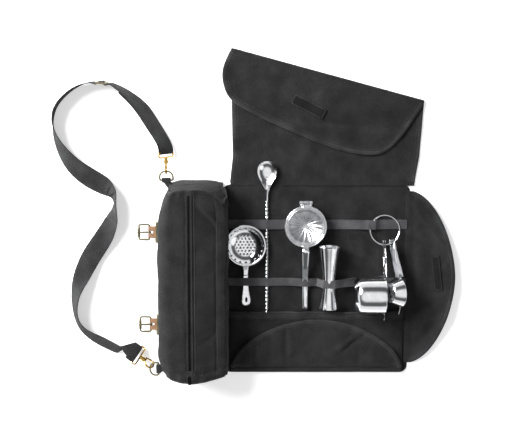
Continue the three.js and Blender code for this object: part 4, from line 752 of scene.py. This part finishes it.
right_arc = [(x, y) for y, x in d_outline(164.5, 86, 1.75)]
right_outline = [*right_arc, (-8, -164.5), (-8, 164.5)]
flap(
    "right_flap", right_outline, right_lay, [right_arc[::-1][1:-1]], width=10, inset=7.8,
    replaces=["right_flap"],
    bend=("tool_roll", "side_flap", (RIGHT_FOLD_X, RIGHT_MIDDLE_Y, 1.5), (183, RIGHT_MIDDLE_Y, 2.5)), proud=0.8,
)
patch_piece(
    "loop_tape", "loop_patch", 33, 8,
    turned_lay((52, 10.3), 97, lambda px, py: right_lay(px, py, FLAP_THICKNESS + 1.2)), "side_flap",
)

# ---------------------------------------------------------------- pocket and bottom flap

POCKET_FRONT, POCKET_MOUTH = -169, -60
POCKET_THICKNESS = 1.6
POCKET_SLOPE = (11 - 0.8) / (POCKET_MOUTH - POCKET_FRONT)


def pocket_lay(x, y, height):
    """The pocket's front rises to its open mouth and hangs in folds between its sides."""
    rise = 0.8 + POCKET_SLOPE * (y - POCKET_FRONT)
    side = max(0.0, 1 - (abs(x) / 165) ** 14)
    share = (y - POCKET_FRONT) / (POCKET_MOUTH - POCKET_FRONT)
    folds = 0.5 + 0.5 * math.sin(x / 13 + 2.2 * ripple(x, 0, 60, 3.0))
    sag = share * rise * side * (0.36 * folds + 0.16 * ripple(x, y, 24, 8.0))
    mouth = 2.4 * share ** 6 * ripple(x, 3, 34, 1.0)
    return Vector((x, y + mouth, ON_PANEL + rise * side - sag + height))


pocket_outline = [(-165, POCKET_FRONT), (165, POCKET_FRONT), (165, POCKET_MOUTH), (-165, POCKET_MOUTH)]
pocket = build("pocket_sheet", *cloth(pocket_outline, pocket_lay, POCKET_THICKNESS), LINING, "tool_roll", "lining",
               ["tool_pocket"])
mouth_path = [(165, POCKET_MOUTH), (-165, POCKET_MOUTH)]
hem = band(mouth_path, pocket_lay, POCKET_THICKNESS, width=15, proud=0.7)
pocket_hem = build("pocket_hem", *hem, BINDING, "tool_roll", "lining")
pocket_rows = build(
    "pocket_stitches",
    *merged([stitches(inset_row(mouth_path, pocket_lay, 2.4, inset)) for inset in (3, 13.4)]),
    THREAD_AND_GROOVE_SHADE, "tool_roll", "lining",
)
as_sheet(pocket_outline)

HINGE_Y, HINGE_Z = -173.5, 9.09
BOTTOM_CENTRE = 1.5
BOTTOM_SEAM = 5.2


def bottom_lay(x, v, height):
    """x along the fold, v up the bag from it; behind the fold the cloth turns under."""
    soft = min(1, max(v, 0) / 12)
    folds = 1.8 * math.sin(x / 12 + 4 * ripple(x, v, 80, 6.0)) * math.exp(-max(v, 0) / 50)
    slack = soft * (3.4 + 2.0 * ripple(x, v, 36, 31.0) + 0.9 * ripple(x, v, 14, 7.0) + 0.9 * folds)
    slack -= 4.4 * soft * hill(x, -117, 5) * hill(v, 24, 30) + 4.2 * soft * hill(x, -58, 5) * hill(v, 52, 36)
    slack -= 3.8 * soft * hill(x - 46 - (v - 36) * 1.18, 0, 4.5) * hill(v, 52, 20)
    slack -= 3.4 * soft * hill(x, 80, 5) * hill(v, 22, 18)
    slack -= 3.0 * soft * hill(x + 46 - (v - 24) * 0.8, 0, 3.5) * hill(v, 28, 10)
    slack += 2.6 * soft * (hill(x, -103, 8) * hill(v, 30, 30) + hill(x - 34 - (v - 36) * 1.18, 0, 7) * hill(v, 50, 22))
    slack = max(slack, -2.4) - 1.7 * hill(v, BOTTOM_SEAM, 1.5) * (height / FLAP_THICKNESS)
    if v >= 0:
        rise = HINGE_Z - 1.3 + POCKET_SLOPE * v + height + slack + 0.9 * hill(v, 2, 5)
        return Vector((BOTTOM_CENTRE + x, HINGE_Y + v, rise))
    turn = min(-v / 1.9, 0.8 * math.pi)
    reach = 0.4 + height
    plump = 1.25 + 0.15 * ripple(x, 0, 18, 2.0)
    lift = 0.9 * hill(0, 2, 5) * (1 - turn / math.pi)
    return Vector((BOTTOM_CENTRE + x, HINGE_Y - math.sin(turn) * reach * plump,
                   HINGE_Z - 1.7 + lift + math.cos(turn) * reach))


bottom_arc = d_outline(162.5, 100, 1.8)
bottom_outline = [*bottom_arc, (-162.5, -4.6), (162.5, -4.6)]
fold_rows = (-3.8, -3, -2.2, -1.4, -0.6, 0.3, 1.6, 3, 4.2, 5.2, 6.4, 8)
flap(
    "bottom_flap", bottom_outline, bottom_lay, [bottom_arc[1:-1]], width=11, inset=8.8,
    replaces=["bottom_flap"],
    body="front_flap", proud=0.7, seam=[bottom_lay(x, BOTTOM_SEAM, FLAP_THICKNESS) for x in range(-158, 160, 4)],
    extra=[(x, v) for x in spread(-160, 160, 4) for v in fold_rows],
)

# ---------------------------------------------------------------- zipped barrel

CENTRE_X, CENTRE_Z = -228, 52
HINGE_WALL_X = -174.6
SECTION_POINTS = 144


def barrel_section():
    """The barrel's outline across, from the zip leftward, down, under and up its right side."""
    path = [(ZIP_X, 105), *arc(-266, 81, 24, 90, 180, 8), (-292, 55), (-291, 12), *arc(-280, 6, 6, 180, 270, 3),
            (-184, 0), *arc(-181.5, 6, 6, -90, 0, 3), (-175.3, 24), (-167, 38), (-163, 55),
            *arc(-189, 81, 24, 0, 90, 8)]
    path = smooth_path(path, closed=True, rounds=1)
    after = next(i for i in range(len(path)) if path[i][1] > 100 and path[i - 1][0] > ZIP_X >= path[i][0])
    path = [(ZIP_X, path[after][1]), *path[after:], *path[:after]]
    return [p.to_2d() for p in resampled([(*p, 0) for p in path], 1, closed=True)]


SECTION = barrel_section()
SECTION_LENGTH = sum((SECTION[i] - SECTION[i - 1]).length for i in range(len(SECTION)))


def section_at(t):
    """Place and outward normal at a share t of the way round."""
    f = (t % 1) * len(SECTION)
    i = int(f)
    a, b = SECTION[i % len(SECTION)], SECTION[(i + 1) % len(SECTION)]
    here = a.lerp(b, f - i)
    before, after = SECTION[(i - 2) % len(SECTION)], SECTION[(i + 3) % len(SECTION)]
    heading = (after - before).normalized()
    return here, Vector((heading.y, -heading.x))


def share_near(x, z):
    """The share of the way round that lies nearest a place in the section."""
    return min(range(len(SECTION)), key=lambda i: (SECTION[i] - Vector((x, z))).length) / len(SECTION)


T_LEFT = share_near(-290, SHOULDER)
T_RIGHT = share_near(-165, SHOULDER)


def barrel_place(t, y, depth=0.0):
    """A place on the barrel's cloth, depth inside its outer face, with its sag, folds and puckers."""
    here, normal = section_at(t)
    end = min(y - BARREL_FRONT, BARREL_BACK - y)
    draw = 1 - 0.065 * max(0.0, 1 - end / 16) ** 2.2 * clamp(here.y / 60)
    top = max(0.0, normal.y)
    angle = math.atan2(here.y - CENTRE_Z, here.x - CENTRE_X)
    puckers = 1.5 * math.sin(angle * 17 + 2 * ripple(y, angle * 20, 30)) * math.exp(-abs(end - 9) / 12)
    waves = 3.4 * ripple(y, angle * 55, 52, 2.0) + 1.6 * ripple(y, angle * 55, 20, 6.0)
    crease_line = (here.x + 222) * 0.9 + (y - 150)
    crease = -4.5 * hill(crease_line, 0, 7) * top * hill(here.x, -200, 26) * hill(y, 142, 34)
    crease += 3.0 * hill(crease_line, 16, 8) * top * hill(here.x, -196, 24) * hill(y, 150, 30)
    second = -2.2 * hill((here.x + 205) * 0.7 - (y + 96), 0, 8) * top * hill(here.x, -195, 28) * hill(y, -96, 46)
    sag = -2.5 * top * hill(y, 0, 120) * hill(here.x, -258, 34) - 1.5 * top * hill(here.x, -196, 20)
    slope = -16 * top * clamp((here.x + 224) / 46) ** 1.2
    push = waves * 0.9 + puckers + crease + second + sag + slope + 0.6
    if here.y < 6:
        push = min(0.0, push) * 0.2
    outward = push - depth
    x = CENTRE_X + (here.x + normal.x * outward - CENTRE_X) * draw
    z = CENTRE_Z + (here.y + normal.y * outward - CENTRE_Z) * draw
    left = max(0.0, (CENTRE_X - x) / 64)
    right = max(0.0, (x - CENTRE_X) / 65)
    from_front, from_back = max(0.0, 1 - (y - BARREL_FRONT) / 56), max(0.0, 1 - (BARREL_BACK - y) / 60)
    drag = clamp((y - 95) / 91) ** 1.3
    pull = 15 * from_front ** 2 + 11 * from_back ** 2 + 12 * drag
    x += pull * left ** 1.5 - (5 * from_front ** 2 + 6 * from_back ** 2) * right ** 2 * clamp(z / 90) ** 2
    high = clamp(z / 100) ** 1.5
    y += (1 + 14 * max(left, right) ** 2) * high * max(0.0, 1 - (y - BARREL_FRONT) / 60) ** 1.5
    y -= (3 + 8 * left ** 2 + 50 * right ** 3) * high * max(0.0, 1 - (BARREL_BACK - y) / 110) ** 1.6
    # The wall's foot keeps to the hinge, so that it lies on the table when the barrel is tipped.
    if here.x > -182 and here.y < 60 and z > 3.5:
        x = max(x, HINGE_WALL_X - depth)
    return Vector((x, y, max(z, 0.05)))


def thick_patch(ts, ys, keep=lambda i, k: True, place=barrel_place):
    """Cloth of some thickness over a grid of (t, y), with its open edges closed."""
    points, index = [], {}

    def spot(i, k, layer):
        key = (i, k, layer)
        if key not in index:
            index[key] = len(points)
            points.append(place(ts[i], ys[k], BARREL_CLOTH * layer))
        return index[key]

    cells = {(i, k) for i in range(len(ts) - 1) for k in range(len(ys) - 1) if keep(i, k)}
    faces = []
    for i, k in cells:
        corners = ((i, k), (i + 1, k), (i + 1, k + 1), (i, k + 1))
        faces.append(tuple(spot(*c, 0) for c in corners))
        faces.append(tuple(spot(*c, 1) for c in reversed(corners)))
        for (di, dk), a, b in (((0, -1), 0, 1), ((1, 0), 1, 2), ((0, 1), 2, 3), ((-1, 0), 3, 0)):
            if (i + di, k + dk) not in cells:
                faces.append((spot(*corners[a], 0), spot(*corners[a], 1), spot(*corners[b], 1), spot(*corners[b], 0)))
    return points, faces


T_STEP = 3.2 / SECTION_LENGTH
FLAP_YS = (ZIP_FRONT + 0.3, ZIP_BACK - 0.3)
ZIP_GAP = 4.6 / SECTION_LENGTH

shell_ts = [*spread(0, T_LEFT, T_STEP)[:-1], *spread(T_LEFT, T_RIGHT, T_STEP)[:-1], *spread(T_RIGHT, 1, T_STEP)]
shell_ys = [*spread(BARREL_FRONT + 3.2, ZIP_FRONT, 3)[:-1], *spread(ZIP_FRONT, ZIP_BACK, 4)[:-1],
            *spread(ZIP_BACK, BARREL_BACK - 3.2, 3)]


def is_shell(i, k):
    t, y = (shell_ts[i] + shell_ts[i + 1]) / 2, (shell_ys[k] + shell_ys[k + 1]) / 2
    return T_LEFT < t < T_RIGHT or not ZIP_FRONT < y < ZIP_BACK


shell = build("barrel_shell", *thick_patch(shell_ts, shell_ys, is_shell), CANVAS, "compartment", "canvas",
              ["compartment_shell"])
bevelled(shell, 0.8)


def flap_edge(t, y, depth):
    """Right of the zip the placket stands up a little as a rounded edge; left of it the cloth dips."""
    place = barrel_place(t, y, depth)
    from_zip = min(t, 1 - t) * SECTION_LENGTH
    if t < 0.5:
        return place - Z_AXIS * (1.6 * hill(from_zip, 4.4, 3))
    edge = 0.9 * hill(from_zip, 6.0, 1.6) - 1.3 * hill(from_zip, 9.2, 1.2) + 0.6 * hill(from_zip, 11.5, 1.5)
    return place + Z_AXIS * edge


for side, flap_ts in (("left", spread(ZIP_GAP, T_LEFT, T_STEP)), ("right", spread(T_RIGHT, 1 - ZIP_GAP, T_STEP * 0.5))):
    bevelled(build(
        f"zip_side_{side}", *thick_patch(flap_ts, spread(*FLAP_YS, 3.5), place=flap_edge), CANVAS, f"zip_{side}",
        "canvas", [f"zip_flap_{side}"],
    ), 0.9)


def along_barrel(distance, y0, y1):
    """A path that runs along the barrel at a distance from the zip; right of it where positive."""
    t = -distance / SECTION_LENGTH
    return [flap_edge(t % 1, y, -STITCH_LIFT) for y in spread(y0, y1, 4)]


for side, distances in (("right", (6.4, 11.2)), ("left", (-7.2,))):
    rows = [stitches(along_barrel(distance, *FLAP_YS), radius=0.3) for distance in distances]
    build(f"zip_rows_{side}", *merged(rows), THREAD_AND_GROOVE_SHADE, f"zip_{side}", "canvas")


def across_barrel(y, t0, t1):
    return [barrel_place(t % 1, y, -STITCH_LIFT) for t in spread(t0, t1, T_STEP)]


def seam_ring(y, radius):
    """A piped seam all round the barrel."""
    rings = []
    for i in range(SECTION_POINTS):
        p = barrel_place(i / SECTION_POINTS, y, 0.4)
        out = Vector((p.x - CENTRE_X, 0, p.z - CENTRE_Z)).normalized()
        rings.append(circle(p, out, Y_AXIS, radius, 10))
    return skin(rings, closed_path=True)


def end_cap(y, out, depth):
    """The round end: cloth that bulges a little and is gathered at the seam."""
    rings = []
    for share in (1.0, 0.985, 0.95, 0.9, 0.82, 0.7, 0.55, 0.38, 0.2, 0.06, 0.002):
        ring = []
        for i, angle in enumerate(turns(SECTION_POINTS)):
            rim = barrel_place(i / SECTION_POINTS, y, 0.3)
            bulge = depth * (1 - share ** 3)
            gather = 0.8 * math.sin(angle * 26) * math.exp(-(1 - share) * 9)
            dent = 1.3 * ripple(rim.x * share, rim.z * share, 30, 7.0)
            from_rim = y + (rim.y - y) * share ** 3
            low = max(0.05, CENTRE_Z + (rim.z - CENTRE_Z) * share)
            plump = bulge * (1.5 - low / 105)
            ring.append(Vector((CENTRE_X + (rim.x - CENTRE_X) * share,
                                from_rim + out * (plump + gather + dent * (1 - share)), low)))
        rings.append(ring)
    inner = [[p - Y_AXIS * out * 2.6 for p in ring] for ring in rings[::-1]]
    return skin([*rings, *inner])


for side, y, out, depth in (("front", BARREL_FRONT + 3.0, -1, 2.0), ("back", BARREL_BACK - 3.0, 1, 7.5)):
    build(f"barrel_end_{side}", *end_cap(y, out, depth), CANVAS, "compartment", "canvas", [f"end_panel_{side}"])
    build(f"barrel_piping_{side}", *seam_ring(y, 1.9), BINDING, "compartment", "canvas")
for side, y, out in (("front", ZIP_FRONT, -1), ("back", ZIP_BACK, 1)):
    rows = [stitches(across_barrel(y + out * away, -reach, reach)) for away, reach in ((3, 0.3), (20, 0.36))]
    build(f"barrel_rows_{side}", *merged(rows), THREAD_AND_GROOVE_SHADE, "compartment", "canvas")

bar_tack = [barrel_place(1 - across / SECTION_LENGTH, ZIP_FRONT - down, -0.5)
            for across, down in ((10, 1.5), (24, 1.5), (24, 9), (10, 9), (10, 1.5))]
build("bar_tack", *stitches(bar_tack, length=1.6, space=0.4, radius=0.5), BINDING, "compartment", "canvas")


def zip_half(side):
    """Tape and teeth of one side of the zip; side is -1 at the left and 1 at the right."""
    tape_section = ((0, 101.2), (5, 101.2), (11.5, 99.9), (11.5, 100.8), (4.4, 103.7), (0, 103.7))
    tooth_sections = ((-0.5, 0.8, 101.2, 104.6), (0.5, 0.5, 101.0, 104.8), (2.4, 0.6, 101.0, 104.3))
    tape = [[Vector((ZIP_X + side * 0.8 + side * out, y, z)) for out, z in tape_section]
            for y in (ZIP_FRONT + 1, ZIP_BACK - 1)]
    teeth = []
    y = ZIP_FRONT + 2 + (1.2 if side > 0 else 0)
    while y < ZIP_BACK - 3:
        teeth.append(skin([
            [Vector((ZIP_X + side * out, y - half, low)), Vector((ZIP_X + side * out, y + half, low)),
             Vector((ZIP_X + side * out, y + half * 0.8, high)), Vector((ZIP_X + side * out, y - half * 0.8, high))]
            for out, half, low, high in tooth_sections
        ]))
        y += 2.4
    return skin(tape), merged(teeth)


for side, name in ((-1, "left"), (1, "right")):
    tape_part, teeth_part = zip_half(side)
    build(f"zip_band_{name}", *tape_part, CANVAS, f"zip_{name}", "canvas", [f"zip_tape_{name}"])
    build(f"zip_teeth_{name}", *teeth_part, BLACK_METAL, f"zip_{name}", "blackMetal")
refined("zip_runner", "zip_slider", BLACK_METAL, "slider", "blackMetal")
refined("zip_puller", "zip_pull", BLACK_METAL, "pull", "blackMetal")

# ---------------------------------------------------------------- leather, rings and hooks

TAB_TOP = 15.0
TAB_END = -300.5
TAB_SEAM = 8.4

for side in ("upper", "lower"):
    copied(f"closing_leather_{side}", f"closing_strap_{side}", LEATHER, "tool_roll", "leather", 0.5)
    copied(f"buckle_leather_{side}", f"buckle_tab_{side}", LEATHER, "compartment", "leather", 0.9)
    copied(f"buckle_loop_{side}", f"buckle_keeper_{side}", ANTIQUE, "compartment", "antique", 0.5)
    refined(f"buckle_wire_{side}", f"buckle_frame_{side}", ANTIQUE, f"buckle_{side}", "antique")
    refined(f"buckle_pin_{side}", f"buckle_prong_{side}", ANTIQUE, f"prong_{side}", "antique")
    refined(f"dee_{side}", f"d_ring_{side}", ANTIQUE, f"ring_{side}", "antique")
    refined(f"dee_tab_{side}", f"ring_tab_{side}", WEBBING, "compartment", "canvas")
    refined(f"hook_{side}", f"snap_hook_{side}", GOLD, f"hook_{side}", "gold")
    refined(f"hook_spring_{side}", f"hook_gate_{side}", GOLD, f"gate_{side}", "gold", 1)
    refined(f"hook_eye_{side}", f"swivel_eye_{side}", GOLD, "compartment", "gold")
    y = BUCKLE_YS[side]
    rows = [[Vector((x, y + dy, TAB_TOP)) for x in spread(-311, TAB_END, 2)] for dy in (-TAB_SEAM, TAB_SEAM)]
    rows.append([Vector((TAB_END, y + dy, TAB_TOP)) for dy in spread(-TAB_SEAM, TAB_SEAM, 2)])
    build(f"buckle_rows_{side}", *merged([stitches(r, length=1.8, space=0.9, radius=0.28) for r in rows]), TAN_THREAD,
          "compartment", "leather")

# Doubled webbing that runs from each ring's tab into the barrel's side
for side, outline in (("upper", [(-285.4, 189.0), (-270.6, 189.0), (-246, 170), (-258, 154)]),
                      ("lower", [(-293.6, -174.8), (-293.6, -160.6), (-264, -150), (-262, -164)])):
    tongue = cloth(outline, lambda x, y, height: Vector((x, y, 21.0 + height + 0.3 * math.sin(x + y))), 6.0, spacing=3)
    build(f"ring_tongue_{side}", *tongue, WEBBING, "compartment", "canvas")
refined("shoulder_webbing", "shoulder_strap", WEBBING, "compartment", "webbing")
refined("webbing_slider", "strap_slider", ANTIQUE, "compartment", "antique")

# ---------------------------------------------------------------- tools

refined("elastic_upper", "upper_elastic", ELASTIC, "tool_roll", "elastic")
# The lower elastic rises over the strainer's and the press's handles.
lower_band = refined("elastic_lower", "lower_elastic", ELASTIC, "tool_roll", "elastic")
for vertex in lower_band.data.vertices:
    x = vertex.co.x / MM
    vertex.co.z += (1.3 * hill(x, STRAINER.x, 12) + 1.6 * hill(x, PRESS_X, 11)) * MM
trees = {}


def height_over(name, x, y):
    """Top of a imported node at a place, in millimetres."""
    if name not in trees:
        mesh = frame["nodes"][name].data
        faces = [tuple(p.vertices) for p in mesh.polygons]
        trees[name] = BVHTree.FromPolygons([v.co.copy() for v in mesh.vertices], faces)
    spot = trees[name].ray_cast(Vector((x * MM, y * MM, 0.3)), Vector((0, 0, -1)))[0]
    return spot.z / MM if spot else None


def perforated(radius, holes, lay, spacing):
    """A round sheet with round holes; lay(x, y) gives each place."""
    ring = [Vector(p) for p in arc(0, 0, radius, 0, 360, 110)[:-1]]
    spots, edges = list(ring), [(i, (i + 1) % len(ring)) for i in range(len(ring))]
    for hx, hy, hr in holes:
        first = len(spots)
        count = 14 if hr > 1 else 8
        spots += [Vector((hx + hr * math.cos(a), hy + hr * math.sin(a))) for a in turns(count)]
        edges += [(first + i, first + (i + 1) % count) for i in range(count)]
    for shell_radius in spread(spacing, radius - spacing, spacing):
        count = max(6, round(2 * math.pi * shell_radius / spacing))
        for i in range(count):
            a = 2 * math.pi * (i + 0.5) / count
            spot = Vector((shell_radius * math.cos(a), shell_radius * math.sin(a)))
            if all((spot - Vector((hx, hy))).length > hr + 0.7 for hx, hy, hr in holes):
                spots.append(spot)
    flat, _, triangles, *_ = geometry.delaunay_2d_cdt(spots, edges, [], 1, 1e-5)
    kept = []
    for triangle in triangles:
        middle = sum((flat[i] for i in triangle), Vector((0, 0))) / 3
        if all((middle - Vector((hx, hy))).length > hr * 0.97 for hx, hy, hr in holes):
            kept.append(tuple(triangle))
    return [lay(p.x, p.y) for p in flat], kept


def strainer_bowl(x, y):
    r = math.hypot(x, y)
    share = min(r / 35, 1)
    rise = 6.6 + 12.4 * share ** 3.6 + (0.35 * hill(r, 37, 1.2) if r > 34 else 0)
    return STRAINER + Vector((x, y, rise))


BOWL_RADIUS = 39
HOLE_PITCH = 6.6
RIM_HOLES = 20
big_holes = [((i - (6 - abs(line)) / 2) * HOLE_PITCH, line * HOLE_PITCH * math.sqrt(0.75), 1.05)
             for line in range(-3, 4) for i in range(7 - abs(line))]
small_holes = [((BOWL_RADIUS - HOLE_PITCH) * math.cos(a), (BOWL_RADIUS - HOLE_PITCH) * math.sin(a), 1.2)
               for a in turns(RIM_HOLES)]
strainer = build("strainer_tool", *perforated(BOWL_RADIUS, big_holes + small_holes, strainer_bowl, 2.2), STEEL,
                 "strainer", "steel", ["julep_strainer"])
wall = strainer.modifiers.new("wall", "SOLIDIFY")
wall.thickness = 1.0 * MM
wall.offset = -1
apply_all(strainer)

handle_half = [(34, 8.5), (29, 6.6), (20, 5.0), (4, 4.6), (-14, 5.2), (-27, 7.4), (-38, 9.4), (-44, 9.0), (-48, 6.2),
               (-49.3, 2.5)]
handle_left = smooth_path([(-w, y) for y, w in handle_half], rounds=2)
handle_outline = handle_left + [(-x, y) for x, y in handle_left[::-1]]


def strainer_handle(x, y, height):
    """A long handle that dips from the rim and rests by its end, crowned across."""
    down = clamp((31 - y) / 22)
    slope = 18.2 - 12.0 * down ** 1.1 * (1 - 0.1 * math.sin(math.pi * down))
    crown = 1.1 * max(0, 1 - (x / 9) ** 2)
    return Vector((STRAINER.x + x, y, slope - 1.2 + height + crown))


build("strainer_handle", *cloth(handle_outline, strainer_handle, 1.5, spacing=2.4), STEEL, "strainer", "steel")
# Painted shade: a dark disc laid on the handle's top stands for the hang hole and the shaded cloth seen through it; the
# handle itself is not pierced.
HOLE_SIDES = 24
hole_shade_points = [strainer_handle(1.5, -38, 1.55)]
hole_shade_points += [strainer_handle(1.5 + 2.4 * math.cos(a), -38 + 5.2 * math.sin(a), 1.6) for a in turns(HOLE_SIDES)]
build("strainer_hole_painted_shade", hole_shade_points, [(0, i, i % HOLE_SIDES + 1) for i in range(1, HOLE_SIDES + 1)], BLACK_METAL,
      "strainer", "steel")


SPOON_Z = 7.9
SPOON_END = -82
SPOON_TWIST = 15


def spoon_bar(y0, y1, radius, lobe):
    """The spoon's bar, with two lobes that turn once in each twist; it rises to the bowl."""
    rings = []
    for y in spread(y0, y1, 0.7):
        turn = 2 * math.pi * y / SPOON_TWIST
        z = SPOON_Z + 4.4 * max(0, (y - 150) / 24) ** 1.6
        ring = []
        for a in turns(24):
            r = radius + lobe * math.cos(2 * (a - turn))
            ring.append(Vector((SPOON_X + r * math.cos(a), y, z + r * math.sin(a))))
        rings.append(ring)
    return skin(rings)


def spoon_bowl():
    """A pointed oval dish on the end of the bar."""
    half = [(0, 225), (5.5, 224.2), (10.5, 221.8), (14.6, 217.6), (17.2, 212), (18, 206), (17.3, 200), (15, 193.5),
            (11.6, 187), (8, 181), (5.2, 176), (3.4, 170), (2.4, 163)]
    side = smooth_path(half, rounds=2)
    outline = [*side, *[(-x, y) for x, y in side[::-1][:-1]]]
    middle = 206
    inner, outer = [], []
    for share in (0.02, 0.18, 0.36, 0.54, 0.7, 0.83, 0.92, 0.97, 1.0):
        top, low = [], []
        for x, y in outline:
            place = Vector((SPOON_X + x * share, middle + (y - middle) * share))
            tail = clamp((190 - place.y) / 26)
            level = (13.4 - 6.4 * (1 - share ** 2.4) * (1 - tail)) * (1 - tail) + 9.6 * tail
            level += 0.3 * hill(share, 0.97, 0.03)
            top.append(Vector((*place, level)))
            low.append(Vector((*place, level - 1.1)))
        inner.append(top)
        outer.append(low)
    return skin([*inner, *outer[::-1]])


build("spoon_tool", *spoon_bar(SPOON_END, 150, 1.9, 0.75), STEEL, "spoon", "steel", ["bar_spoon"])
build("spoon_neck", *spoon_bar(149, 172, 2.2, 0.0), STEEL, "spoon", "steel")
build("spoon_bowl", *spoon_bowl(), STEEL, "spoon", "steel", sharp=50)
build("spoon_tip", *lathe([(0.01, -3.5), (2.4, -2.6), (3.4, 0), (2.4, 2.6), (0.01, 3.5)], 24,
                          Vector((SPOON_X, SPOON_END, SPOON_Z)), Y_AXIS, X_AXIS), STEEL, "spoon", "steel")
refined("press_bowl", "press_lower", STEEL, "press", "steel")
refined("press_dome", "press_upper", PRESSED, "press_top", "steel")
PRESS_RIM = Vector((PRESS_X, 104.7, 0))


def rim_ring(radius, tube, lift):
    """A rolled edge on the press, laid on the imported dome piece."""
    rings = []
    for a in turns(96):
        out = Vector((math.cos(a), math.sin(a), 0))
        spot = PRESS_RIM + out * radius
        top = height_over("press_upper", spot.x, spot.y) or 30
        centre = Vector((spot.x, spot.y, min(top, 32.4) + lift))
        rings.append(circle(centre, out, Z_AXIS, tube, 12))
    return skin(rings, closed_path=True)


build("press_rim", *rim_ring(37.2, 1.5, 0.0), STEEL, "press_top", "steel")
build("press_bead", *rim_ring(33.6, 0.8, 0.1), STEEL, "press_top", "steel")
refined("press_hinge_pin", "press_pin", BRUSHED, "press", "steel", 1)
refined("jigger_tool", "jigger", STEEL, "jigger", "steel")


def handle_grip(x0, y0, y1, w0, w1, name, crown, lean=0.0):
    """A half-round bar that tapers along a flat handle; lean moves its far end along X."""
    rings = []
    for y in spread(y0, y1, 3):
        share = (y - y0) / (y1 - y0)
        x = x0 + lean * share
        half = (w0 + (w1 - w0) * share) / 2
        end = math.sqrt(max(0.02, min(1, min(abs(y - y0), abs(y1 - y)) / 4)))
        over = [height_over(name, x + dx, y) for dx in (-1, 0, 1)]
        low = max([z for z in over if z] or [12]) - 1.2
        ring = [Vector((x + half * end * math.cos(a), y, low + (1.0 + crown) * end * max(0, math.sin(a))))
                for a in (math.pi * s / 12 for s in range(13))]
        ring += [Vector((x - half * end, y, low - 0.6)), Vector((x + half * end, y, low - 0.6))]
        rings.append(ring)
    return skin(rings)


build("press_grip", *handle_grip(PRESS_X, 64, -55, 14.5, 7.5, "press_upper", 1.4), STEEL, "press_top", "steel")
build("small_cup_bar", *handle_grip(145.2, 74, 34, 5.0, 6.5, "measuring_cup_small", 0.9, lean=3.6), STEEL, "small_cup",
      "steel")
for size, body in (("large", "cups"), ("medium", "cups"), ("small", "small_cup")):
    refined(f"cup_{size}", f"measuring_cup_{size}", STEEL, body, "steel")
refined("cup_ring", "measuring_ring", STEEL, "tool_roll", "steel")

# ---------------------------------------------------------------- floor, light and camera


def floor():
    """A pale floor, which camera and mirror rays see the brighter the farther it lies from the bag."""
    made, tree, shader, place = material(
        "floor", Base_Color=(0.86, 0.86, 0.86, 1), Roughness=0.95, Specular_IOR_Level=0.1, Emission_Color=WHITE
    )
    path = add(tree, "LightPath")
    seen = combine(tree, "MAXIMUM", path.outputs["Is Camera Ray"], path.outputs["Is Glossy Ray"])
    reach = add(tree, "VectorMath", operation="LENGTH", Vector=place)
    rise = add(tree, "MapRange", interpolation_type="SMOOTHSTEP", Value=reach.outputs["Value"],
               From_Min=0.7, From_Max=2.4, To_Min=0.46, To_Max=1.1)
    tree.links.new(combine(tree, "MULTIPLY", seen, rise.outputs[0]), shader.inputs["Emission Strength"])
    mesh = bpy.data.meshes.new("floor")
    half = 6
    mesh.from_pydata([(-half, -half, 0), (half, -half, 0), (half, half, 0), (-half, half, 0)], [], [(0, 1, 2, 3)])
    mesh.materials.append(made)
    placed("floor", mesh)


def lamp(name, place, target, size, power):
    """A round soft light turned to its target."""
    light = bpy.data.lights.new(name, "AREA")
    light.shape = "DISK"
    light.size = size
    light.energy = power
    obj = placed(name, light)
    obj.location = place
    obj.rotation_euler = (Vector(target) - Vector(place)).to_track_quat("-Z", "Y").to_euler()


def world():
    """A grey room for the cloth, white panels for metal to mirror, and a white backdrop for the camera."""
    made = bpy.data.worlds.new("studio")
    bpy.context.scene.world = made
    made.use_nodes = True
    tree = made.node_tree
    up = add(tree, "SeparateXYZ", Vector=add(tree, "TexCoord").outputs["Generated"]).outputs["Z"]
    room = ramp(tree, up, (0.0, (0.12, 0.12, 0.125, 1)), (0.8, (0.42, 0.42, 0.43, 1)))
    greys = ((0.4, 0.9), (0.55, 0.1), (0.8, 0.12), (0.92, 0.95))
    mirrored = ramp(tree, up, (0.0, WHITE), *((at, (grey, grey, grey * 1.01, 1)) for at, grey in greys), (1.0, WHITE))
    path = add(tree, "LightPath")
    shiny = combine(tree, "MAXIMUM", path.outputs["Is Glossy Ray"], path.outputs["Is Transmission Ray"])
    lit = add(tree, "Mix", data_type="RGBA", Factor=shiny, A=room, B=mirrored).outputs["Result"]
    shown = add(tree, "Mix", data_type="RGBA", Factor=path.outputs["Is Camera Ray"], A=lit, B=WHITE)
    tree.links.new(shown.outputs["Result"], tree.nodes["Background"].inputs["Color"])


floor()
world()
TARGET = Vector((-0.1053, 0.1178, 0))
lamp("key", (-1.62, 1.2, 1.5), TARGET, size=1.4, power=146)
lamp("fill", (1.5, -0.9, 1.6), TARGET, size=1.4, power=5)

VIEW_TILT = math.radians(8)
VIEW_DISTANCE = 1.95
camera = placed("camera", bpy.data.cameras.new("camera"))
camera.data.lens = 72
camera.data.sensor_width = 36
camera.location = TARGET + Vector((0, math.sin(VIEW_TILT), math.cos(VIEW_TILT))) * VIEW_DISTANCE
camera.rotation_euler = (-VIEW_TILT, 0, 0)
bpy.context.scene.camera = camera
bpy.context.scene.view_settings.view_transform = "Standard"
